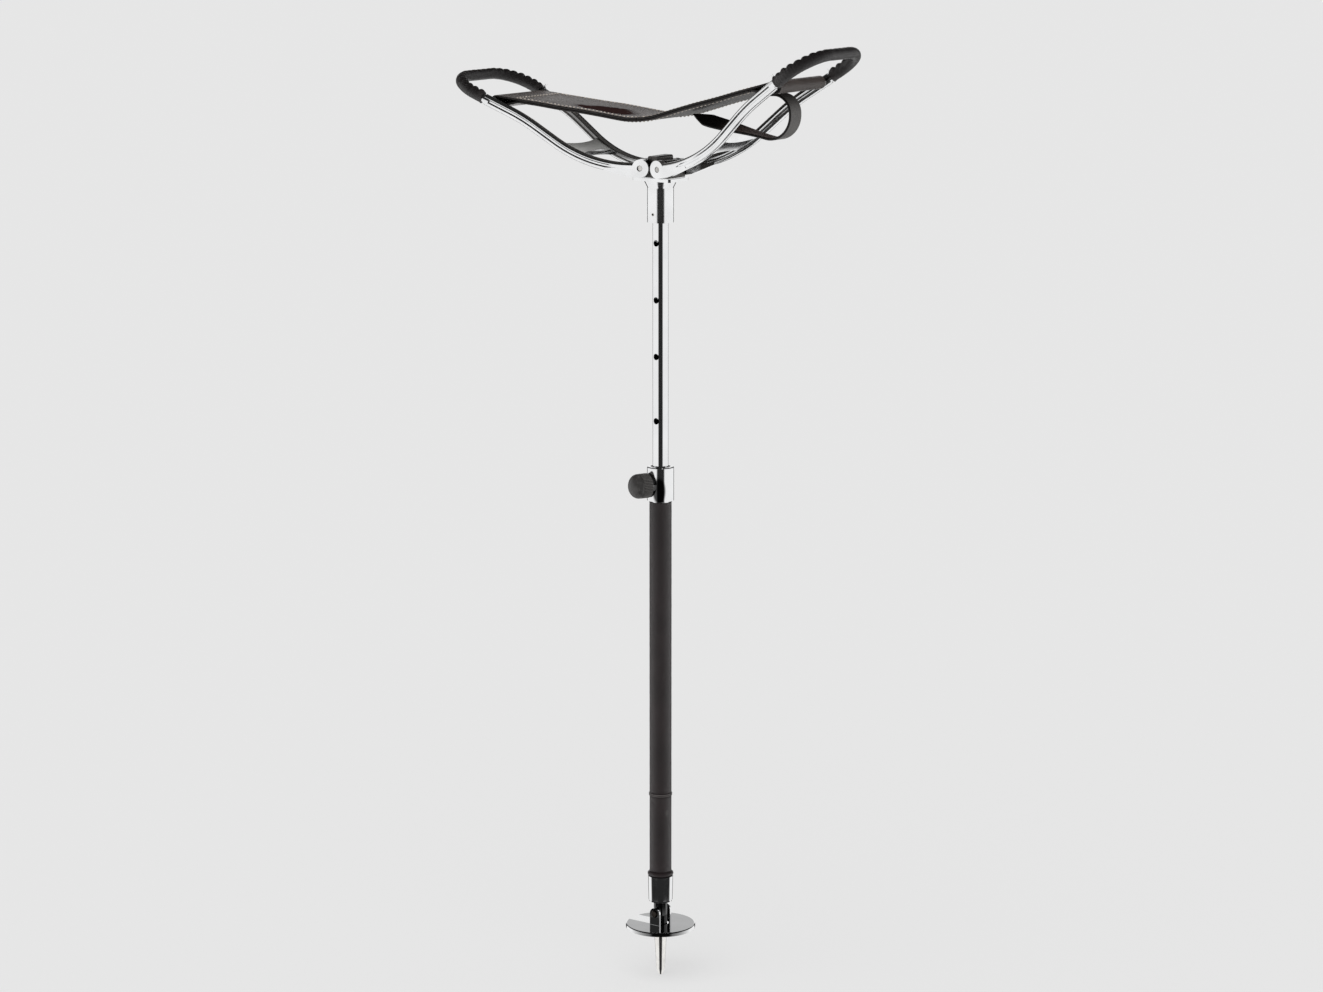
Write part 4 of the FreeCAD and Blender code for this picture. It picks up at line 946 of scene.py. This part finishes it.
class STICKSEAT_OT_sleeves(bpy.types.Operator):
    """Wraps the outer tube in leather, with its rolled ends and the seam between the sleeves"""
    bl_idname = "stick_seat.sleeves"
    bl_label = "Stick leather"

    def execute(self, context):
        sizes = settings().sleeves
        scuff = (0.0106, -0.0037, 0.1245), (480.0, 480.0, 280.0), (0.052, 0.047, 0.044), 0.6
        hide = leather("Stick leather", sizes.leather, 0.0009, (0.26, 0.42), 0.55, scuff)
        pale = leather("Seam leather", (0.046, 0.041, 0.040), 0.0009, (0.26, 0.42), 0.55)
        for node, bulge, rolls in (("upper_leather_sleeve", 0.0, 1), ("lower_leather_sleeve", 0.0, 1),
                                   ("middle_welt", 0.0008, 2), ("end_welt", 0.002, 1)):
            low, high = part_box(node)
            skin = pale if rolls > 1 else hide
            piece = self.sleeve(node + "_hide", low.z, high.z, (bulge, rolls), sizes, skin)
            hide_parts(node)
            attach(piece, "stick")
        return {"FINISHED"}

    @staticmethod
    def sleeve(name, foot, top, welt, sizes, hide):
        """A leather tube between two heights, swelling in one or two rolls where it is a welt."""
        bulge, rolls = welt
        count = 96
        parts = max(20, round((top - foot) / 0.0011))
        rows = []
        for part in range(parts + 1):
            height = foot + (top - foot) * part / parts
            near_end = min(part, parts - part) * (top - foot) / parts
            swell = bulge * abs(math.sin(rolls * math.pi * (0.06 + 0.88 * part / parts)))
            turn_in = 0.0003 * math.exp(-(near_end / 0.0005) ** 2)
            row = []
            for index in range(count):
                angle = 2 * math.pi * index / count
                spot = Vector((math.cos(angle) * 2.2, math.sin(angle) * 2.2, height * 90))
                radius = sizes.radius + swell - turn_in + 0.00007 * noise.noise(spot)
                radius += 0.00005 * noise.noise(spot * 3.1)
                radius -= STICKSEAT_OT_sleeves.creases(angle, height)
                row.append(Vector((radius * math.cos(angle), radius * math.sin(angle), height)))
            rows.append(row)
        inside = [[Vector((sizes.tube * math.cos(2 * math.pi * index / count),
                           sizes.tube * math.sin(2 * math.pi * index / count), height))
                   for index in range(count)] for height in (top, foot)]
        worn = lambda row, index: 0.9 * abs(math.sin(2 * math.pi * row / parts)) ** 3 if rolls > 1 else 0.0
        return loft(name, rows + inside, [hide], looped=True, wear_and_highlight=worn)

    @staticmethod
    def creases(angle, height):
        """Depth of the slanting creases beside the seam and of the long butt joint at the back."""
        depth = 0.0
        for middle, rise, start in CREASES:
            swing = (angle - middle + math.pi) % (2 * math.pi) - math.pi
            off = height - start - rise * swing
            depth += 0.0004 * math.exp(-(off / 0.0006) ** 2 - (swing / 0.42) ** 2)
        joint = (angle - math.radians(118) + math.pi) % (2 * math.pi) - math.pi
        return depth + 0.0003 * math.exp(-(joint / 0.045) ** 2)


class STICKSEAT_OT_knob(bpy.types.Operator):
    """Makes the ribbed pull knob with its rounded end"""
    bl_idname = "stick_seat.knob"
    bl_label = "Lock knob"

    def execute(self, context):
        sizes = settings().knob
        plastic = moulded("Knob plastic", sizes.plastic, (0.07, 0.067, 0.064))
        outward = Matrix.Rotation(sizes.azimuth, 3, "Z") @ Vector((1, 0, 0))
        across = UP.cross(outward)
        axis_point = Vector((0, 0, sizes.height))
        per_rib = 10
        count = sizes.ribs * per_rib
        rim_end = sizes.foot + sizes.ribbed
        undercut = sizes.radius - 0.0006
        profile = [(0.0089, rim_end - 0.0012, 0.0), (0.0089, sizes.foot, 0.0),
                   (sizes.radius - 0.0008, sizes.foot, 0.0), (sizes.radius - 0.0002, sizes.foot + 0.0003, 0.6),
                   (sizes.radius, sizes.foot + 0.001, 1.0), (sizes.radius, rim_end - 0.0009, 1.0),
                   (undercut, rim_end - 0.0003, 0.7), (undercut, rim_end + 0.0001, 0.2),
                   (sizes.radius, rim_end + 0.0004, 0.0)]
        for part in range(1, 15):
            angle = math.pi / 2 * part / 15
            profile.append((sizes.radius * math.cos(angle), rim_end + 0.0004 + (sizes.dome - 0.0004)
                            * math.sin(angle), 0.0))
        rows = []
        for radius, reach, ribbed in profile:
            row = []
            for index in range(count):
                off = ((index + per_rib / 2) % per_rib - per_rib / 2) * 2 * math.pi / count * sizes.radius
                cut = math.sqrt(max(0.0, sizes.groove ** 2 - off ** 2)) * ribbed
                angle = 2 * math.pi * index / count
                spoke = across * math.cos(angle) + UP * math.sin(angle)
                row.append(axis_point + outward * reach + spoke * (radius - cut))
            rows.append(row)
        # The rib crests are marked for the plastic's painted highlight.
        crest = lambda row, index: profile[row][2] * (abs((index + per_rib / 2) % per_rib - per_rib / 2) > 3)
        piece = loft("lock_knob_shell", rows, [plastic], wear_and_highlight=crest)
        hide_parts("lock_knob")
        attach(piece, "lock")
        return {"FINISHED"}


class STICKSEAT_OT_grips(bpy.types.Operator):
    """Sews leather round the two grip loops, with its puckered seam and whip stitches"""
    bl_idname = "stick_seat.grips"
    bl_label = "Grip leather"

    def execute(self, context):
        sizes = settings().grips
        hide = leather("Grip leather", sizes.leather, 0.0010, (0.27, 0.42), 0.62)
        thread = sewing_thread("Grip thread", (0.035, 0.026, 0.022))
        corners = [beyond_arm(sizes.start, 1), beyond_arm(sizes.reach, 1),
                   beyond_arm(sizes.reach, -1), beyond_arm(sizes.start, -1)]
        stations = rounded_line(corners, [sizes.corner] * 2, 0.0007)
        run = [0.0]
        for (near, _), (far, _) in zip(stations, stations[1:]):
            run.append(run[-1] + (far - near).length)
        outward = corners[1] - corners[0]
        upright = Vector((-outward.z, 0, outward.x)).normalized()
        for seed, name in enumerate(SIDES):
            place = frame_place(name)
            piece = self.wrap(name + "_grip_wrap", stations, run, upright, place, sizes, hide, 40.0 * seed)
            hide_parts(name + "_grip_leather")
            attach(piece, name + "_frame")
            line = self.seam(stations, run, upright, place, sizes)
            sewn = sew(name + "_grip_whip", [line], WHIP_STITCH, sizes.pitch, thread)
            for end in (0, -1) if name == "right" else (-1,):
                self.loose_threads(sewn.data, line[end], line[len(line) // 2][0])
            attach(sewn, name + "_frame")
        return {"FINISHED"}

    @staticmethod
    def pucker(sizes, reach, whole):
        """Height of the seam's bumps at a reach along the grip: full by the ends, slight at the apex."""
        from_end = min(reach, whole - reach)
        return sizes.pucker * (0.22 + 0.78 * math.exp(-(from_end / 0.052) ** 4))

    def wrap(self, name, stations, run, upright, place, sizes, hide, seed):
        """The leather tube of one grip."""
        count = 44
        whole = run[-1]
        rows = []
        for (point, heading), reach in zip(stations, run):
            side = heading.cross(upright)
            high = self.pucker(sizes, reach, whole)
            wobble = 1.0 + 0.28 * noise.noise(Vector((reach * 70, seed, 3.0)))
            lobe = abs(math.sin(math.pi * reach / sizes.pitch)) ** 0.75 * wobble
            near_end = min(reach, whole - reach)
            row = []
            for index in range(count):
                angle = 2 * math.pi * index / count
                off = (angle + math.pi) % (2 * math.pi) - math.pi
                spot = Vector((math.cos(angle) * 1.6, math.sin(angle) * 1.6, reach * 160 + seed))
                radius = sizes.outer - 0.0002 + 0.00014 * noise.noise(spot) + 0.00008 * noise.noise(spot * 2.7)
                radius += high * lobe * math.exp(-(off / 0.62) ** 2)
                radius -= 0.0006 * math.exp(-(off / 0.11) ** 2)
                inner_bend = max(0.0, -math.sin(angle))
                radius += 0.00009 * inner_bend * math.sin(2 * math.pi * reach / 0.0031)
                radius += 0.0004 * math.exp(-(near_end / 0.0011) ** 2)
                ragged = 0.0006 * noise.noise(Vector((angle * 1.4, seed, 9.0))) * math.exp(-near_end / 0.0015)
                spoke = upright * math.cos(angle) + side * math.sin(angle)
                row.append(place @ (point + spoke * radius + heading * ragged))
            rows.append(row)
        bore = []
        for point, heading in reversed(stations[::3]):
            side = heading.cross(upright)
            bore.append([place @ (point + (upright * math.cos(2 * math.pi * index / count)
                                           + side * math.sin(2 * math.pi * index / count)) * sizes.inner)
                         for index in range(count)])
        ends = 14
        last = len(rows) - 1
        worn = lambda row, index: 0.0 if row > last else max(0.0, 1 - min(row, last - row) / ends) * 0.5
        return loft(name, rows + bore, [hide], looped=True, wear_and_highlight=worn)

    @staticmethod
    def loose_threads(mesh, end, middle):
        """Adds the cut thread ends that stand up where a seam stops."""
        foot, way, up = end
        outward = (foot - middle).normalized()
        shape = bmesh.new()
        shape.from_mesh(mesh)
        for lean, curl, reach in THREAD_ENDS:
            rings = []
            for part in range(7):
                gone = part / 6
                bent = up * (gone * 0.85) + outward * (lean * gone) + way * (curl * gone * gone)
                slim = 0.00032 * (1 - 0.4 * gone)
                ring = []
                for index in range(6):
                    turned = math.pi / 3 * index
                    spoke = outward * math.cos(turned) + way * math.sin(turned)
                    ring.append(shape.verts.new(foot + bent * reach + spoke * slim))
                rings.append(ring)
            sides = []
            for near, far in zip(rings, rings[1:]):
                for index in range(6):
                    after = (index + 1) % 6
                    sides.append(shape.faces.new((near[index], near[after], far[after], far[index])))
            sides += [shape.faces.new(rings[0]), shape.faces.new(rings[-1])]
            bmesh.ops.recalc_face_normals(shape, faces=sides)
        shape.to_mesh(mesh)
        shape.free()

    def seam(self, stations, run, upright, place, sizes):
        """Where the whip stitches cross the seam: in the dips between its bumps."""
        turn_only = place.to_3x3()
        line = []
        for (point, heading), reach in zip(stations, run):
            side = heading.cross(upright)
            slant = (side + heading * 0.35).normalized()
            line.append((place @ (point + upright * (sizes.outer - 0.0001)), turn_only @ slant,
                         turn_only @ upright))
        return line


class STICKSEAT_OT_seat(bpy.types.Operator):
    """Hangs the two-layer leather sling between the bars and sews its rows"""
    bl_idname = "stick_seat.seat"
    bl_label = "Seat"

    def execute(self, context):
        sizes = settings().seat
        edge = cut_edge("Seat edge", (0.013, 0.011, 0.0105))
        back = flesh_side("Seat underside", sizes.underside)
        # The seat's patch: painted shade standing in for a missing reflection.
        patch = (-0.055, -0.013, 0.84), (27.0, 46.0, 0.0), sizes.patch, 0.0
        row = sizes.half_width - sizes.leather * 0.42, sizes.half_width - sizes.edge_row
        hide = leather("Seat leather", sizes.top, 0.0011, (0.24, 0.42), 0.34, patch, row)
        thread = sewing_thread("Seat thread", sizes.thread)
        radius, bars, low = sling_line()
        ends = {name: self.touch(low, bars[name], radius, True) for name in SIDES}
        whole = rounded_line([ends["left"], low, ends["right"]], [sizes.bend], 0.002)
        middle = min(range(len(whole)), key=lambda index: abs(whole[index][0].x))
        halves = {"left": [(point, -heading) for point, heading in reversed(whole[:middle + 1])],
                  "right": whole[middle:]}
        for name, side in SIDES.items():
            line = halves[name]
            seam = self.at(line, run_length(line) - sizes.flap)
            span = self.turned_under(line, ends[name], bars[name], radius, low, sizes)
            upper = self.layer(name + "_seat_sheet", span, sizes, [hide, edge, back], side)
            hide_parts("seat_leather")
            below = self.dropped(self.until(line, seam, 0.0021), sizes.leather + 0.00005, side)
            under = self.layer(name + "_seat_underlay", below, sizes, [back, edge, back], side)
            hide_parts("seat_lining")
            rows = self.rows(line, seam, sizes, side)
            sewn = sew(name + "_seat_rows", rows, SEAT_STITCH, sizes.pitch, thread)
            for piece in (upper, under, sewn):
                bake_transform(piece)
        return {"FINISHED"}

    @staticmethod
    def touch(outside, centre, radius, above):
        """Where a line from a point touches a bar's leather, above or below it."""
        span = centre - outside
        spread = math.asin(radius / span.length)
        sign = -1 if above != (span.x < 0) else 1
        heading = (Matrix.Rotation(sign * spread, 3, "Y") @ span).normalized()
        return outside + heading * math.sqrt(span.length ** 2 - radius ** 2)

    @staticmethod
    def at(line, reach):
        """The index of the station at a reach along a line."""
        gone = 0.0
        for index, (near, far) in enumerate(zip(line, line[1:])):
            gone += (far[0] - near[0]).length
            if gone >= reach:
                return index + 1
        return len(line) - 1

    @staticmethod
    def until(line, index, past):
        """A line cut off a little short of a station."""
        kept = line[:index + 1]
        point, heading = kept[-1]
        return kept[:-1] + [(point - heading * past, heading)]

    def turned_under(self, line, end, centre, radius, low, sizes):
        """The line of a seat half: out to the bar, round it and back under to the flap's end."""
        inboard, down = below_sling(end, low)
        stop = end + inboard * sizes.flap + down * (sizes.leather + 0.00006)
        touch = self.touch(stop, centre, radius, False)
        first = end - centre
        last = touch - centre
        sweep = first.angle(last)
        around = -inboard
        toward = (around - first.normalized() * around.dot(first.normalized())).normalized()
        if last.dot(toward) < 0:
            sweep = 2 * math.pi - sweep
        span = list(line)
        parts = 26
        for part in range(1, parts):
            angle = sweep * part / parts
            spoke = first.normalized() * math.cos(angle) + toward * math.sin(angle)
            heading = toward * math.cos(angle) - first.normalized() * math.sin(angle)
            span.append((centre + spoke * radius, heading))
        return span + straight(touch, stop, 0.002) + [(stop, (stop - touch).normalized())]

    @staticmethod
    def face(heading, side):
        """The upper side of the seat along a heading that leads outwards."""
        return ALONG_Y.cross(heading).normalized() * -side

    def dropped(self, line, depth, side):
        """A line moved down, square to itself."""
        return [(point - self.face(heading, side) * depth, heading) for point, heading in line]

    def layer(self, name, span, sizes, finishes, side):
        """One layer of a seat half as a sheet with rounded edges and a slight waviness."""
        count = 40
        section = band_section(sizes.half_width, sizes.leather, count)
        rows = []
        reach = 0.0
        last = span[0][0]
        for point, heading in span:
            reach += (point - last).length
            last = point
            up = self.face(heading, side)
            row = []
            for across, rise in section:
                row.append(point + ALONG_Y * across + up * (rise + seat_wave(reach, across)))
            rows.append(row)
        return loft(name, rows, finishes, finish_of=lambda row, index: band_face(index, count))

    def rows(self, line, seam, sizes, side):
        """The sewn rows of a seat half: along both long edges up to the flap, and across at its end."""
        lines = []
        inner = sizes.half_width - sizes.edge_row
        reach = 0.0
        walked = []
        for index, (point, heading) in enumerate(line[:seam + 1]):
            if index:
                reach += (point - line[index - 1][0]).length
            walked.append((point, heading, reach))
        for face, depth in ((1, sizes.leather / 2), (-1, 1.5 * sizes.leather + 0.00006)):
            for hand in (1, -1):
                row = []
                for point, heading, gone in walked[:-1]:
                    row.append(self.stitch(point, heading, gone, hand * inner, face, depth, side, heading))
                lines.append(row)
            point, heading, gone = walked[-1]
            depth = sizes.leather / 2 if face > 0 else 1.5 * sizes.leather
            point = point + heading * 0.0025
            cross = [self.stitch(point, heading, gone, part * 0.002 - inner, face, depth, side, ALONG_Y)
                     for part in range(int(2 * inner / 0.002) + 1)]
            lines.append(cross)
        return lines

    def stitch(self, point, heading, reach, across, face, depth, side, way):
        """A stitch's place on a face of the seat, with its heading and the side it stands on."""
        up = self.face(heading, side)
        return point + ALONG_Y * across + up * (seat_wave(reach, across) + face * depth), way, up * face


class STICKSEAT_OT_strap(bpy.types.Operator):
    """Loops the closing strap below the seat's right end"""
    bl_idname = "stick_seat.strap"
    bl_label = "Closing strap"

    def execute(self, context):
        sizes = settings().strap
        seat = settings().seat
        radius, bars, low = sling_line()
        end = STICKSEAT_OT_seat.touch(low, bars["right"], radius, True)
        inboard, down = below_sling(end, low)
        depth = 1.5 * seat.leather + 0.00032 + sizes.leather / 2
        root = end + inboard * (seat.flap + seat.leather + sizes.sewn) + down * depth
        top = bars["right"] + Vector((-sizes.inset, 0, -sizes.under_bar))
        foot = top - UP * sizes.drop
        run = foot + Vector((-sizes.run, 0, sizes.run_rise))
        tip = run + Vector((-sizes.tongue, 0, sizes.tongue_rise))
        bends = [sizes.corner, sizes.foot_corner, sizes.tongue_bend]
        stations = rounded_line([root, top, foot, run, tip], bends, 0.0012)
        whole = run_length(stations)
        finishes = [strap_hide("Strap outside", sizes.outside), cut_edge("Strap edge", (0.009, 0.0075, 0.007)),
                    flesh_side("Strap inside", sizes.inside, 0.66 * whole)]
        count = 14
        rows = []
        reach = 0.0
        last = stations[0][0]
        for point, heading in stations:
            reach += (point - last).length
            last = point
            left = whole - reach
            share = min(1.0, max(0.04, left / sizes.point)) ** 0.8
            section = band_section(sizes.width / 2 * share, sizes.leather * min(1.0, 0.55 + left / 0.01), count)
            out = heading.cross(ALONG_Y).normalized()
            gone = min(1.0, max(0.0, (reach / whole - 0.52) / 0.36))
            twist = Matrix.Rotation(sizes.twist * gone * gone * (3 - 2 * gone), 3, heading)
            rows.append([point + twist @ (ALONG_Y * across + out * rise) for across, rise in section])
        piece = loft("closing_strap_band", rows, finishes, finish_of=lambda row, index: band_face(index, count))
        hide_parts("closing_strap")
        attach(piece, "right_frame")
        return {"FINISHED"}


class STICKSEAT_PT_panel(bpy.types.Panel):
    """Lists the pieces of the stick seat and their settings"""
    bl_idname = "STICKSEAT_PT_panel"
    bl_label = "Stick Seat"
    bl_space_type = "VIEW_3D"
    bl_region_type = "UI"
    bl_category = "Stick Seat"

    def draw(self, context):
        given = context.scene.stick_seat
        for operator, group in zip(OPERATORS, GROUPS):
            box = self.layout.box()
            box.operator(operator.bl_idname)
            for name in getattr(given, group).bl_rna.properties.keys():
                if name not in {"rna_type", "name"}:
                    box.prop(getattr(given, group), name)


OPERATORS = (STICKSEAT_OT_stage, STICKSEAT_OT_metal, STICKSEAT_OT_sleeves, STICKSEAT_OT_knob,
             STICKSEAT_OT_grips, STICKSEAT_OT_seat, STICKSEAT_OT_strap)
GROUPS = ("stage", "frames", "sleeves", "knob", "grips", "seat", "strap")
CLASSES = (StageSettings, FrameSettings, GripSettings, SeatSettings, StrapSettings, SleeveSettings,
           KnobSettings, StickSeatSettings) + OPERATORS + (STICKSEAT_PT_panel,)


def register():
    for item in CLASSES:
        bpy.utils.register_class(item)
    bpy.types.Scene.stick_seat = PointerProperty(type=StickSeatSettings)


def unregister():
    del bpy.types.Scene.stick_seat
    for item in reversed(CLASSES):
        bpy.utils.unregister_class(item)


def main():
    register()
    bpy.ops.stick_seat.stage()
    bpy.ops.stick_seat.metal()
    bpy.ops.stick_seat.sleeves()
    bpy.ops.stick_seat.knob()
    bpy.ops.stick_seat.grips()
    bpy.ops.stick_seat.seat()
    bpy.ops.stick_seat.strap()


if __name__ == "__main__":
    main()
